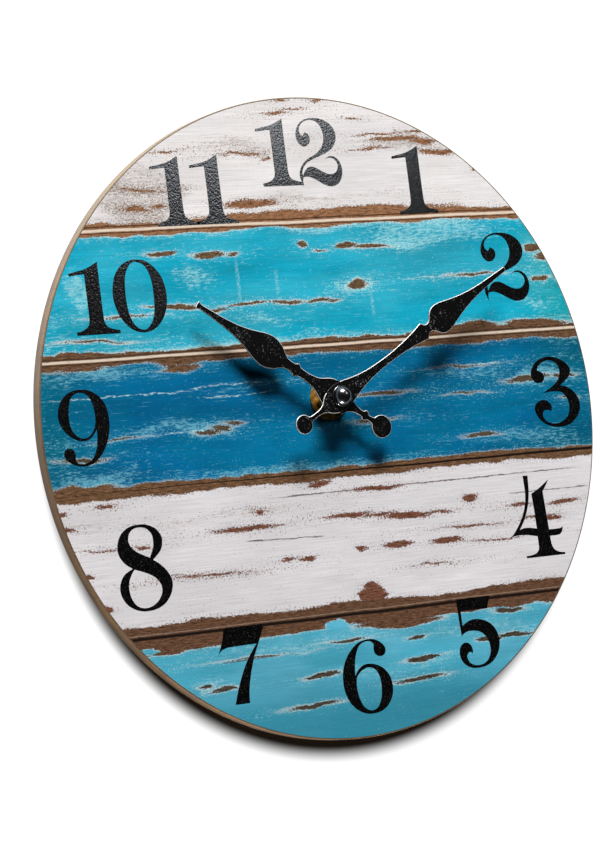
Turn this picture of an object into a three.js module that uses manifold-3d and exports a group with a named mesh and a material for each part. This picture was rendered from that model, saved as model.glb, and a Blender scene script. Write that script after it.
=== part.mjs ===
// Outdoor wall clock: a round printed board, spade hands and a battery movement with its full gear train.
// Clock coordinates, in mm: x to the right, y up towards twelve, z out of the wall towards the viewer.
// The wall is z = 0 and the hands turn about x = y = 0. The outer group stands this up: the dial faces -Y, up is +Z.
import * as THREE from "three";
import { mergeVertices } from "three/addons/utils/BufferGeometryUtils.js";
import Module from "manifold-3d";

const wasm = await Module();
wasm.setup();

// Clearances shared by every pair of pieces.
const SEAT = 0.05; // flat pieces clamped together
const PRESS = 0.08; // a piece pushed on to a shaft, per side
const RUN = 0.15; // a shaft that turns in a hole, per side

// The board and where the hands' axis goes through it.
const BOARD_R = 127;
const BOARD_T = 5.5;
const BOARD_EDGE = 0.9; // rounding of the front edge
const SPINDLE_RISE = 6.5; // the axis above the board's middle

// The case of the movement.
const CASE_SIDE = 56;
const CASE_DEPTH = 16;
const CASE_WALL = 1.4;
const CASE_CORNER = 4;
const FRONT_WALL = 1.5;
const COVER_T = 1.5;
const COVER_GAP = 0.2;

// What is clamped on the stem, from the case forwards.
const HANGER_T = 0.8;
const RUBBER_T = 1.2;
const RUBBER_R = 10;
const WASHER_T = 0.8;
const WASHER_R = 8.5;
const NUT_T = 2.6;
const NUT_FLATS = 11;
const STEM_R = 3.95;
const STEM_BORE_R = 2.8;
const STEM_PROUD = 0.95; // past the nut
const STEM_FLANGE_R = 5.5;
const STEM_FLANGE_T = 0.8;
const STEM_HOLE_R = STEM_R + 0.15;

// The hands and the tubes that carry them.
const HAND_T = 0.5;
const HOUR_RISE = 6.4; // back of the hour hand above the dial
const MINUTE_RISE = 9.5;
const HOUR_TUBE_R = 2.5;
const HOUR_TUBE_BORE_R = 1.8;
const ARBOR_R = 1.5;
const ARBOR_TIP_R = 1.2;
const ARBOR_TIP_LENGTH = 2.9;
const MINUTE_ANGLE = 61.4; // clock degrees, at ten past ten
const HOUR_ANGLE = 304.5;
const MINUTE_LENGTH = 97;
const MINUTE_TAIL = 20.8; // axis to the middle of the counterweight
const MINUTE_BALL_R = 3.8;
const HOUR_LENGTH = 70.3;
const HOUR_TAIL = 23;
const HOUR_BALL_R = 4.6;
const CAP_FLANGE_R = 4.2;
const CAP_DOME_R = 3.3;
const CAP_HEIGHT = 4.3;

// Gear teeth.
const TOOTH_TIP = 0.8; // above the pitch circle, in modules
const TOOTH_ROOT = 1.2; // below it
const TIP_HALF = 0.1; // half the tooth at its tip, as a share of the pitch
const ROOT_HALF = 0.27;

// Tooth counts, following the drive from the rotor to the hands.
const ROTOR_TEETH = 10;
const FIFTH_TEETH = 50;
const FIFTH_PINION = 10;
const FOURTH_TEETH = 60;
const FOURTH_PINION = 8;
const THIRD_TEETH = 60;
const THIRD_PINION = 8;
const CENTRE_TEETH = 64;
const CANNON_PINION = 12;
const MOTION_TEETH = 36;
const MOTION_PINION = 10;
const HOUR_TEETH = 40;
const SETTING_TEETH = 12;

// Distances between meshing axes, and the module each one gives.
const ROTOR_DISTANCE = 7.5;
const FIFTH_DISTANCE = 11.2;
const THIRD_DISTANCE = 10.8;
const MOTION_DISTANCE = 9.6;
const moduleFor = (distance, a, b) => (2 * distance) / (a + b);
const ROTOR_MODULE = moduleFor(ROTOR_DISTANCE, ROTOR_TEETH, FIFTH_TEETH);
const FIFTH_MODULE = moduleFor(FIFTH_DISTANCE, FIFTH_PINION, FOURTH_TEETH);
const FOURTH_MODULE = moduleFor(THIRD_DISTANCE, FOURTH_PINION, THIRD_TEETH);
const THIRD_MODULE = moduleFor(THIRD_DISTANCE, THIRD_PINION, CENTRE_TEETH);
const CANNON_MODULE = moduleFor(MOTION_DISTANCE, CANNON_PINION, MOTION_TEETH);
const HOUR_MODULE = moduleFor(MOTION_DISTANCE, MOTION_PINION, HOUR_TEETH);

// Axes of the train, seen from the front. The centre, fourth and hour wheels share the hands' axis.
const polar = (from, distance, degrees) => [
  from[0] + distance * Math.cos((degrees * Math.PI) / 180),
  from[1] + distance * Math.sin((degrees * Math.PI) / 180),
];
const CENTRE = [0, 0];
const THIRD = polar(CENTRE, THIRD_DISTANCE, 135);
const FIFTH = polar(CENTRE, FIFTH_DISTANCE, 45);
const ROTOR = polar(FIFTH, ROTOR_DISTANCE, 30);
const MOTION = polar(CENTRE, MOTION_DISTANCE, 180);
const SETTING = polar(MOTION, MOTION_DISTANCE, 180);

// Layers inside the case, drawn for this much room between the back cover and the front wall.
// They spread or close up together over the room that the case gives.
const ROOM_DRAWN = 13;
const WALL_IN = CASE_DEPTH - FRONT_WALL; // inner face of the case's front wall
const layer = (...heights) => heights.map((h) => COVER_T + (h * (WALL_IN - COVER_T)) / ROOM_DRAWN);
const REAR_PLATE_Z = layer(0.9, 1.9);
const NIB_Z = layer(1.3, 2.3); // noses of the cover's clips
const FIFTH_Z = layer(2.7, 3.5);
const PCB_Z = layer(3.7, 4.7);
const FOURTH_Z = layer(4.3, 5.1);
const TAB_Z = layer(4.7, 7.9); // where the contact strips pass the bay's wall
const STATOR_Z = layer(5.2, 6.0);
const THIRD_Z = layer(5.6, 6.4);
const CENTRE_Z = layer(7.1, 7.9);
const TRAIN_PLATE_Z = layer(8.4, 9.4);
const MOTION_Z = layer(9.8, 11.0);
const HOUR_Z = layer(11.5, 12.7);
const CONTACT_Z = layer(1.1, 11.1);
const ARBOR_R_SMALL = 0.5; // steel arbors of the train
const ARBOR_SEAT_R = 1.15; // where the centre wheel sits
const PIVOT_REAR = REAR_PLATE_Z[0] + 0.2;
const PIVOT_FRONT = TRAIN_PLATE_Z[1] - 0.2;
const CLUTCH_T = 0.2;

// The battery and its bay.
const BATTERY_R = 7.1;
const BATTERY_LENGTH = 50.5;
const BATTERY_BUTTON_R = 2.7;
const BATTERY_BUTTON = 1.3;
const BAY_FLOOR = 1.0; // front wall behind the battery
const BAY_WALL_Y = -10.4; // upper face of the wall between the bay and the train
const BAY_WALL = 0.9;
const BATTERY_GAP = 0.2;
const CONTACT_T = 0.4;

// Posts that carry the two plates, and the circuit board's pegs.
const POSTS = [
  [-23.6, 14.6],
  [23.6, 4.0],
  [-23.6, -6.9],
  [23.6, -6.9],
];
const POST_R = 1.5;
const POST_FOOT_R = 2.2;
const PLATE_HALF = 25;
const PLATE_Y = [-9.8, 17];
const BOARD_PEGS = [
  [-22, 22.2],
  [-2.6, 22.2],
];
const KNOB_R = 5.2;
const KNOB_SHAFT_R = 1.4;

// Heights that follow from the sizes above.
const INNER = CASE_SIDE / 2 - CASE_WALL;
const HANGER_Z = CASE_DEPTH + SEAT;
const RUBBER_Z = HANGER_Z + HANGER_T + SEAT;
const BOARD_Z = RUBBER_Z + RUBBER_T + SEAT;
const DIAL_Z = BOARD_Z + BOARD_T;
const WASHER_Z = DIAL_Z + SEAT;
const NUT_Z = WASHER_Z + WASHER_T + SEAT;
const STEM_END_Z = NUT_Z + NUT_T + STEM_PROUD;
const HOUR_HAND_Z = DIAL_Z + HOUR_RISE;
const HOUR_TUBE_END_Z = HOUR_HAND_Z + HAND_T + 0.4;
const MINUTE_HAND_Z = DIAL_Z + MINUTE_RISE;
const CAP_Z = MINUTE_HAND_Z + HAND_T + SEAT;
const BATTERY_Z = CASE_DEPTH - BAY_FLOOR - BATTERY_GAP - BATTERY_R;
const BATTERY_Y = (BAY_WALL_Y - BAY_WALL - INNER) / 2;

// A three.js geometry as a solid that can be joined and cut.
function solid(geometry) {
  const bare = geometry.index ? geometry.toNonIndexed() : geometry.clone();
  bare.deleteAttribute("normal");
  bare.deleteAttribute("uv");
  const merged = mergeVertices(bare, 1e-4);
  const kept = [];
  const index = merged.index.array;
  for (let i = 0; i < index.length; i += 3) {
    const [a, b, c] = [index[i], index[i + 1], index[i + 2]];
    if (a !== b && b !== c && c !== a) kept.push(a, b, c);
  }
  return new wasm.Manifold(
    new wasm.Mesh({
      numProp: 3,
      vertProperties: merged.attributes.position.array,
      triVerts: new Uint32Array(kept),
    }),
  );
}

const join = (first, ...others) => others.reduce((all, one) => all.add(one), first);
const cut = (first, ...others) => others.reduce((all, one) => all.subtract(one), first);

// A flat outline standing from height z0 to z1, moved to the axis at (x, y).
function prism(shape, [z0, z1], [x, y] = [0, 0], curveSegments = 5) {
  const options = { depth: z1 - z0, bevelEnabled: false, curveSegments };
  return solid(new THREE.ExtrudeGeometry(shape, options).translate(x, y, z0));
}

// A profile of [radius, height] points, anticlockwise, turned about the axis at (x, y).
function turned(profile, [x, y] = [0, 0], segments = 24) {
  const points = profile.map(([r, z]) => new THREE.Vector2(r, z));
  return solid(new THREE.LatheGeometry(points, segments).rotateX(Math.PI / 2).translate(x, y, 0));
}

const disc = (r, [z0, z1], at, segments) =>
  turned([[0, z0], [r, z0], [r, z1], [0, z1]], at, segments);

const ring = (rIn, rOut, [z0, z1], at, segments) =>
  turned([[rIn, z0], [rOut, z0], [rOut, z1], [rIn, z1], [rIn, z0]], at, segments);

function block([x0, x1], [y0, y1], [z0, z1]) {
  const box = new THREE.BoxGeometry(x1 - x0, y1 - y0, z1 - z0);
  return solid(box.translate((x0 + x1) / 2, (y0 + y1) / 2, (z0 + z1) / 2));
}

function roundedRect([x0, x1], [y0, y1], r) {
  const shape = new THREE.Shape();
  shape.moveTo(x0 + r, y0);
  shape.lineTo(x1 - r, y0);
  shape.absarc(x1 - r, y0 + r, r, -Math.PI / 2, 0);
  shape.lineTo(x1, y1 - r);
  shape.absarc(x1 - r, y1 - r, r, 0, Math.PI / 2);
  shape.lineTo(x0 + r, y1);
  shape.absarc(x0 + r, y1 - r, r, Math.PI / 2, Math.PI);
  shape.lineTo(x0, y0 + r);
  shape.absarc(x0 + r, y0 + r, r, Math.PI, 1.5 * Math.PI);
  return shape;
}

function polygon(points) {
  return new THREE.Shape(points.map(([x, y]) => new THREE.Vector2(x, y)));
}

// Turns the z axis of a geometry to x, its x to y and its y to z.
const ALONG_X = new THREE.Matrix4().makeBasis(
  new THREE.Vector3(0, 1, 0),
  new THREE.Vector3(0, 0, 1),
  new THREE.Vector3(1, 0, 0),
);

// The outline of a gear with one tooth centred on the angle phase.
function gear(teeth, module, phase) {
  const pitch = (2 * Math.PI) / teeth;
  const radius = (module * teeth) / 2;
  const tip = radius + TOOTH_TIP * module;
  const root = radius - TOOTH_ROOT * module;
  const points = [];
  for (let i = 0; i < teeth; i++) {
    const middle = phase + i * pitch;
    for (const [r, share] of [[root, -ROOT_HALF], [tip, -TIP_HALF], [tip, TIP_HALF], [root, ROOT_HALF]]) {
      const angle = middle + share * pitch;
      points.push([r * Math.cos(angle), r * Math.sin(angle)]);
    }
  }
  return polygon(points);
}

// The phase that puts a gap of the second gear on a tooth of the first, on the line between their axes.
function meshPhase(at, teeth, phase, otherAt, otherTeeth) {
  const line = Math.atan2(otherAt[1] - at[1], otherAt[0] - at[0]);
  const offset = ((line - phase) * teeth) / (2 * Math.PI);
  return line + Math.PI - ((0.5 - offset) * 2 * Math.PI) / otherTeeth;
}

const FIFTH_PHASE = meshPhase(ROTOR, ROTOR_TEETH, 0, FIFTH, FIFTH_TEETH);
const FOURTH_PHASE = meshPhase(FIFTH, FIFTH_PINION, 0, CENTRE, FOURTH_TEETH);
const THIRD_PHASE = meshPhase(CENTRE, FOURTH_PINION, 0, THIRD, THIRD_TEETH);
const CENTRE_PHASE = meshPhase(THIRD, THIRD_PINION, 0, CENTRE, CENTRE_TEETH);
const MOTION_PHASE = meshPhase(CENTRE, CANNON_PINION, 0, MOTION, MOTION_TEETH);
const HOUR_PHASE = meshPhase(MOTION, MOTION_PINION, 0, CENTRE, HOUR_TEETH);
const SETTING_PHASE = meshPhase(MOTION, MOTION_TEETH, MOTION_PHASE, SETTING, SETTING_TEETH);

const part = new THREE.Group();
part.name = "wall_clock";
part.rotation.x = Math.PI / 2;

// Puts a finished solid into the clock as a named piece.
function piece(name, made, color, roughness, metalness = 0) {
  const mesh = made.getMesh();
  const positions = new Float32Array(mesh.numVert * 3);
  for (let i = 0; i < mesh.numVert; i++) {
    const start = i * mesh.numProp;
    positions.set(mesh.vertProperties.subarray(start, start + 3), i * 3);
  }
  let geometry = new THREE.BufferGeometry();
  geometry.setAttribute("position", new THREE.BufferAttribute(positions, 3));
  geometry.setIndex(new THREE.BufferAttribute(new Uint32Array(mesh.triVerts), 1));
  geometry = geometry.toNonIndexed();
  geometry.computeVertexNormals();
  const material = new THREE.MeshStandardMaterial({ color, roughness, metalness });
  const node = new THREE.Mesh(geometry, material);
  node.name = name;
  part.add(node);
}

const WOOD = 0x3f93ad;
const BLACK = 0x1a1a1b;
const CASE_BLACK = 0x26272a;
const BRASS = 0xc79a45;
const STEEL = 0xb9bcc0;
const WHITE_PLASTIC = 0xe9e6dc;

// The board: a round panel with a softened front edge and one hole for the stem.
const boardMiddle = [0, -SPINDLE_RISE];
const boardProfile = [[0, BOARD_Z], [BOARD_R - 0.4, BOARD_Z], [BOARD_R, BOARD_Z + 0.4]];
for (let i = 0; i <= 2; i++) {
  const turn = (i / 2) * (Math.PI / 2);
  const r = BOARD_R - BOARD_EDGE + BOARD_EDGE * Math.cos(turn);
  boardProfile.push([r, DIAL_Z - BOARD_EDGE + BOARD_EDGE * Math.sin(turn)]);
}
boardProfile.push([0, DIAL_Z]);
const boardHole = disc(STEM_HOLE_R, [BOARD_Z - 1, DIAL_Z + 1]);
piece("dial_board", cut(turned(boardProfile, boardMiddle, 96), boardHole), WOOD, 0.7);

// Clamping pieces on the stem.
piece("rubber_washer", ring(STEM_HOLE_R, RUBBER_R, [RUBBER_Z, RUBBER_Z + RUBBER_T]), BLACK, 0.9);

piece(
  "brass_washer",
  turned([
    [STEM_HOLE_R, WASHER_Z],
    [WASHER_R, WASHER_Z],
    [WASHER_R, WASHER_Z + WASHER_T - 0.2],
    [WASHER_R - 0.2, WASHER_Z + WASHER_T],
    [STEM_HOLE_R, WASHER_Z + WASHER_T],
    [STEM_HOLE_R, WASHER_Z],
  ]),
  BRASS,
  0.3,
  1,
);

const hexCorner = NUT_FLATS / Math.sqrt(3);
const hexPoints = [0, 1, 2, 3, 4, 5].map((i) => polar(CENTRE, hexCorner, 60 * i + 12));
const nutChamfer = 0.5;
const nutRound = turned([
  [0, NUT_Z],
  [hexCorner - nutChamfer, NUT_Z],
  [hexCorner + 0.05, NUT_Z + nutChamfer],
  [hexCorner + 0.05, NUT_Z + NUT_T - nutChamfer],
  [hexCorner - nutChamfer, NUT_Z + NUT_T],
  [0, NUT_Z + NUT_T],
]);
const nutBody = prism(polygon(hexPoints), [NUT_Z, NUT_Z + NUT_T]).intersect(nutRound);
const nutBore = disc(STEM_HOLE_R, [NUT_Z - 1, NUT_Z + NUT_T + 1]);
piece("hex_nut", cut(nutBody, nutBore), BRASS, 0.25, 1);

// The threaded stem, with a flange let into the inside of the case's front wall.
const flangeTop = WALL_IN + STEM_FLANGE_T;
piece(
  "threaded_stem",
  turned([
    [STEM_BORE_R, WALL_IN],
    [STEM_FLANGE_R, WALL_IN],
    [STEM_FLANGE_R, flangeTop],
    [STEM_R, flangeTop],
    [STEM_R, STEM_END_Z - 0.4],
    [STEM_R - 0.35, STEM_END_Z],
    [STEM_BORE_R, STEM_END_Z],
    [STEM_BORE_R, WALL_IN],
  ]),
  BRASS,
  0.35,
  1,
);

// The hanger: a bent steel plate held by the stem, stepping back above the case to a keyhole for the nail.
const HANGER_FOOT_Y = -13;
const HANGER_BEND_Y = CASE_SIDE / 2 + 1.2;
const HANGER_TAB_Y = HANGER_BEND_Y + 5;
const HANGER_TOP_Y = 53;
const HANGER_STEP = 7; // how far the tab stands back from the board
const HANGER_HALF = 12;
const KEYHOLE_R = 4.6;
const KEYHOLE_SLOT_R = 2.3;
const KEYHOLE_Y = 41;
const KEYHOLE_TOP_Y = 47;
const tabFront = HANGER_Z + HANGER_T - HANGER_STEP;
const hangerSide = polygon([
  [HANGER_FOOT_Y, HANGER_Z],
  [HANGER_BEND_Y, HANGER_Z],
  [HANGER_TAB_Y, tabFront - HANGER_T],
  [HANGER_TOP_Y, tabFront - HANGER_T],
  [HANGER_TOP_Y, tabFront],
  [HANGER_TAB_Y + 0.6, tabFront],
  [HANGER_BEND_Y + 0.6, HANGER_Z + HANGER_T],
  [HANGER_FOOT_Y, HANGER_Z + HANGER_T],
]);
const hangerBand = solid(
  new THREE.ExtrudeGeometry(hangerSide, { depth: 2 * HANGER_HALF + 4, bevelEnabled: false })
    .translate(0, 0, -HANGER_HALF - 2)
    .applyMatrix4(ALONG_X),
);
const hangerFace = roundedRect([-HANGER_HALF, HANGER_HALF], [HANGER_FOOT_Y, HANGER_TOP_Y], 5);
const hangerDepth = [0, BOARD_Z];
const keyhole = new THREE.Shape();
const keyTurn = Math.asin(KEYHOLE_SLOT_R / KEYHOLE_R);
keyhole.absarc(0, KEYHOLE_Y, KEYHOLE_R, Math.PI / 2 + keyTurn, 2.5 * Math.PI - keyTurn);
keyhole.absarc(0, KEYHOLE_TOP_Y, KEYHOLE_SLOT_R, 0, Math.PI);
piece(
  "hanger_plate",
  cut(
    hangerBand.intersect(prism(hangerFace, hangerDepth)),
    disc(STEM_HOLE_R, hangerDepth),
    prism(keyhole, hangerDepth),
  ),
  STEEL,
  0.4,
  1,
);

// A hand: half-widths along its length, from the counterweight to the tip, mirrored about the hand's line.
function hand(profile, tail, ballR, hole, angle, z) {
  const side = [];
  const neck = Math.asin(profile[0][0] / ballR);
  for (let i = 0; i <= 10; i++) {
    const turn = Math.PI - (i / 10) * (Math.PI - neck);
    side.push([ballR * Math.sin(turn), -tail + ballR * Math.cos(turn)]);
  }
  side.push(...profile);
  const left = side.slice(1, -1).reverse().map(([x, y]) => [-x, y]);
  const shape = polygon([...side, ...left]);
  const chamfer = 0.12;
  const options = {
    depth: HAND_T - 2 * chamfer,
    bevelEnabled: true,
    bevelThickness: chamfer,
    bevelSize: chamfer,
    bevelOffset: -chamfer,
    bevelSegments: 1,
  };
  const blade = new THREE.ExtrudeGeometry(shape, options)
    .translate(0, 0, z + chamfer)
    .rotateZ((-angle * Math.PI) / 180);
  return cut(solid(blade), disc(hole, [z - 1, z + 2]));
}

// The same outline with its blade, past the hub, drawn out to the hand's length.
const HUB_REACH = 10;
function drawnTo(length, profile) {
  const [, tip] = profile[profile.length - 1];
  const stretch = (length - HUB_REACH) / (tip - HUB_REACH);
  return profile.map(([w, y]) => [w, y > HUB_REACH ? HUB_REACH + (y - HUB_REACH) * stretch : y]);
}

const minuteProfile = drawnTo(MINUTE_LENGTH, [
  [1.35, -17.0], [1.0, -16.3], [0.95, -12.6], [1.5, -11.0], [2.9, -9.4], [4.8, -7.6], [6.2, -4.6],
  [6.7, -1.5], [6.3, 1.6], [5.2, 4.2], [4.0, 7.0], [3.0, 10.6], [2.15, 15.4], [1.7, 20.6], [1.5, 26.5],
  [1.65, 32.4], [2.0, 37.6], [2.6, 42.6], [3.3, 46.6], [3.6, 48.2], [3.0, 49.0], [2.0, 50.0], [1.85, 51.6],
  [2.7, 53.0], [4.2, 54.2], [5.6, 56.0], [6.1, 58.2], [5.8, 60.8], [5.0, 63.8], [4.0, 67.2], [3.0, 71.4],
  [2.2, 76.0], [1.65, 81.0], [1.28, 87.0], [1.05, 93.0], [0.95, 96.6], [0, 97],
]);
const hourProfile = drawnTo(HOUR_LENGTH, [
  [1.45, -18.4], [1.1, -17.6], [1.1, -15.8], [2.0, -15.0], [2.0, -13.8], [1.2, -13.0], [1.3, -10.8],
  [1.8, -8.6], [3.0, -6.9], [4.8, -5.2], [6.4, -3.0], [6.9, 0], [6.4, 3.0], [5.0, 5.4], [3.2, 7.6],
  [2.1, 9.8], [1.75, 12.5], [1.7, 16.0], [1.9, 19.2], [2.75, 20.2], [2.7, 21.2], [2.05, 22.2], [2.0, 24.5],
  [2.3, 26.2], [3.5, 28.0], [5.0, 30.0], [6.1, 32.4], [6.6, 35.0], [6.4, 37.2], [5.8, 39.6], [4.6, 42.9],
  [3.3, 47.0], [2.3, 51.5], [1.6, 57.0], [1.25, 62.0], [1.1, 66.5], [1.2, 69.4],
  [0.9, 70.1], [0, 70.3],
]);
const minuteHole = ARBOR_TIP_R + PRESS;
const hourHole = HOUR_TUBE_R + PRESS;
piece(
  "minute_hand",
  hand(minuteProfile, MINUTE_TAIL, MINUTE_BALL_R, minuteHole, MINUTE_ANGLE, MINUTE_HAND_Z),
  BLACK,
  0.4,
  0.6,
);
piece(
  "hour_hand",
  hand(hourProfile, HOUR_TAIL, HOUR_BALL_R, hourHole, HOUR_ANGLE, HOUR_HAND_Z),
  BLACK,
  0.4,
  0.6,
);

// The domed cap nut on the tip of the minute arbor.
const capTop = CAP_Z + CAP_HEIGHT;
const capNeck = CAP_Z + 0.9;
const capBoreTop = CAP_Z + ARBOR_TIP_LENGTH - HAND_T;
const capProfile = [
  [0, capBoreTop],
  [minuteHole, capBoreTop],
  [minuteHole, CAP_Z],
  [CAP_FLANGE_R - 0.2, CAP_Z],
  [CAP_FLANGE_R, CAP_Z + 0.2],
  [CAP_FLANGE_R, CAP_Z + 0.5],
  [CAP_FLANGE_R - 0.3, CAP_Z + 0.75],
  [CAP_DOME_R, capNeck],
];
for (let i = 1; i <= 7; i++) {
  const turn = (i / 8) * (Math.PI / 2);
  capProfile.push([CAP_DOME_R * Math.cos(turn), capNeck + (capTop - capNeck) * Math.sin(turn)]);
}
capProfile.push([0, capTop]);
piece("cap_nut", turned(capProfile), STEEL, 0.15, 1);

// The case: a shell open at the back, with the battery's bay below a wall and posts for the plates.
const half = CASE_SIDE / 2;
const through = [-1, CASE_DEPTH + 1];
const bay = [-INNER, BAY_WALL_Y - BAY_WALL];
const tabSlotZ = [TAB_Z[0] - 0.3, TAB_Z[1] + 0.3];
const tabSlotY = [BAY_WALL_Y - BAY_WALL - 0.2, BAY_WALL_Y + 0.2];
const HOOK_HALF = 2.5;
const HOOK_T = 1.0;
const NIB_LENGTH = 0.9;
const windowZ = [NIB_Z[0] - 0.2, NIB_Z[1] + 0.2];
const windowHalf = HOOK_HALF + 0.5;
const HOOK_X = 12;
const HOOK_SIDE_Y = 9.4;
const wallSpan = [INNER - 0.1, half + 0.1];
const wallSpanLeft = [-half - 0.1, -INNER + 0.1];
const topWindows = [-HOOK_X, HOOK_X].map((x) => block([x - windowHalf, x + windowHalf], wallSpan, windowZ));
const sideWindowY = [HOOK_SIDE_Y - windowHalf, HOOK_SIDE_Y + windowHalf];
const postFoot = TRAIN_PLATE_Z[1] + SEAT;
const postEnd = COVER_T + 0.1;
const posts = POSTS.flatMap((at) => [
  disc(POST_FOOT_R, [postFoot, WALL_IN + 0.2], at, 12),
  disc(POST_R, [postEnd, postFoot + 0.1], at, 12),
]);
const pegs = BOARD_PEGS.flatMap((at) => [
  disc(1.3, [PCB_Z[1] + SEAT, WALL_IN + 0.2], at, 10),
  disc(0.6, [PCB_Z[0] - 0.3, PCB_Z[1] + 0.2], at, 10),
]);
const shell = cut(
  prism(roundedRect([-half, half], [-half, half], CASE_CORNER), [0, CASE_DEPTH]),
  prism(roundedRect([-INNER, INNER], [-INNER, INNER], CASE_CORNER - CASE_WALL), [-1, WALL_IN]),
  block([-INNER + 0.6, INNER - 0.6], [bay[0] + 0.6, bay[1]], [WALL_IN - 0.1, CASE_DEPTH - BAY_FLOOR]),
);
const bayWall = block([-INNER - 0.2, INNER + 0.2], [BAY_WALL_Y - BAY_WALL, BAY_WALL_Y], [0, WALL_IN + 0.2]);
piece(
  "case_front",
  cut(
    join(shell, bayWall, ...posts, ...pegs),
    disc(STEM_R + 0.1, through),
    disc(STEM_FLANGE_R + 0.2, [WALL_IN - 0.1, flangeTop + SEAT]),
    block([INNER - 1.1, INNER], tabSlotY, tabSlotZ),
    block([-INNER, -INNER + 1.1], tabSlotY, tabSlotZ),
    ...topWindows,
    block(wallSpan, sideWindowY, windowZ),
    block(wallSpanLeft, sideWindowY, windowZ),
  ),
  CASE_BLACK,
  0.55,
);

// The back cover, which clips into the case over the train and has a well for the setting knob.
const coverEdge = INNER - COVER_GAP;
const armZ = [COVER_T - 0.1, NIB_Z[1]];
const armSpan = [coverEdge - HOOK_T, coverEdge];
const nibSpan = [coverEdge - 0.2, coverEdge + NIB_LENGTH];
const topHooks = [-HOOK_X, HOOK_X].flatMap((x) => [
  block([x - HOOK_HALF, x + HOOK_HALF], armSpan, armZ),
  block([x - HOOK_HALF, x + HOOK_HALF], nibSpan, NIB_Z),
]);
const hookY = [HOOK_SIDE_Y - HOOK_HALF, HOOK_SIDE_Y + HOOK_HALF];
const mirrored = ([a, b]) => [-b, -a];
const coverBosses = POSTS.map((at) => ring(POST_R + 0.2, POST_R + 1.0, [COVER_T - 0.1, REAR_PLATE_Z[0] - SEAT], at, 12));
piece(
  "back_cover",
  cut(
    join(
      prism(roundedRect([-coverEdge, coverEdge], [BAY_WALL_Y + COVER_GAP, coverEdge], 2), [0, COVER_T]),
      ...coverBosses,
      ...topHooks,
      block(armSpan, hookY, armZ),
      block(nibSpan, hookY, NIB_Z),
      block(mirrored(armSpan), hookY, armZ),
      block(mirrored(nibSpan), hookY, NIB_Z),
    ),
    disc(KNOB_R + 0.4, [-1, COVER_T + 2], SETTING, 32),
  ),
  CASE_BLACK,
  0.6,
);

// The two plates that hold the train's arbors. The front one has the spacing tubes and the motion wheel's post.
const plateShape = roundedRect([-PLATE_HALF, PLATE_HALF], PLATE_Y, 2);
const pivotHole = ARBOR_R_SMALL + RUN;
const postHole = POST_R + 0.15;
const MOTION_POST_R = 0.8;
const tubes = POSTS.map((at) => disc(POST_FOOT_R, [REAR_PLATE_Z[1] + SEAT, TRAIN_PLATE_Z[0] + 0.1], at, 12));
const plateHoles = (z) => [
  ...POSTS.map((at) => disc(postHole, z, at, 12)),
  ...[THIRD, FIFTH, ROTOR].map((at) => disc(pivotHole, z, at, 10)),
  disc(KNOB_SHAFT_R + RUN, z, SETTING, 16),
];
piece(
  "train_plate",
  join(
    cut(
      join(prism(plateShape, TRAIN_PLATE_Z), ...tubes),
      ...plateHoles([0, CASE_DEPTH]),
      disc(ARBOR_R + RUN, [0, CASE_DEPTH], CENTRE, 24),
    ),
    disc(MOTION_POST_R, [TRAIN_PLATE_Z[1] - 0.2, WALL_IN - 0.1], MOTION, 16),
  ),
  WHITE_PLASTIC,
  0.6,
);
piece(
  "rear_plate",
  cut(
    prism(plateShape, REAR_PLATE_Z),
    ...plateHoles([0, CASE_DEPTH]),
    disc(pivotHole, [0, CASE_DEPTH], CENTRE, 16),
  ),
  WHITE_PLASTIC,
  0.6,
);

// The minute arbor, with the cannon pinion that drives the motion work and a blind hole for the fourth wheel's pivot.
const wide = ([z0, z1], by) => [z0 - by, z1 + by];
const arborRear = CENTRE_Z[0] - 0.35;
const shoulder = CENTRE_Z[1] + SEAT + CLUTCH_T + SEAT;
const arborShoulderTop = MINUTE_HAND_Z - SEAT;
const blindTop = arborRear + 1.5;
piece(
  "minute_arbor",
  join(
    turned([
      [0, blindTop],
      [ARBOR_R_SMALL + RUN, blindTop],
      [ARBOR_R_SMALL + RUN, arborRear],
      [ARBOR_SEAT_R + 0.55, arborRear],
      [ARBOR_SEAT_R + 0.55, CENTRE_Z[0] - 0.1],
      [ARBOR_SEAT_R, CENTRE_Z[0] - 0.1],
      [ARBOR_SEAT_R, shoulder],
      [ARBOR_R, shoulder],
      [ARBOR_R, arborShoulderTop],
      [ARBOR_TIP_R, arborShoulderTop],
      [ARBOR_TIP_R, arborShoulderTop + ARBOR_TIP_LENGTH],
      [0, arborShoulderTop + ARBOR_TIP_LENGTH],
    ]),
    prism(gear(CANNON_PINION, CANNON_MODULE, 0), wide(MOTION_Z, 0.1)),
  ),
  STEEL,
  0.35,
  0.9,
);

const clutchZ = [CENTRE_Z[1] + SEAT, CENTRE_Z[1] + SEAT + CLUTCH_T];
piece("clutch_spring", ring(ARBOR_SEAT_R + PRESS, 2.6, clutchZ), BRASS, 0.3, 1);

piece(
  "centre_wheel",
  cut(
    prism(gear(CENTRE_TEETH, THIRD_MODULE, CENTRE_PHASE), CENTRE_Z),
    disc(ARBOR_SEAT_R + RUN, wide(CENTRE_Z, 1)),
  ),
  WHITE_PLASTIC,
  0.5,
);

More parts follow.
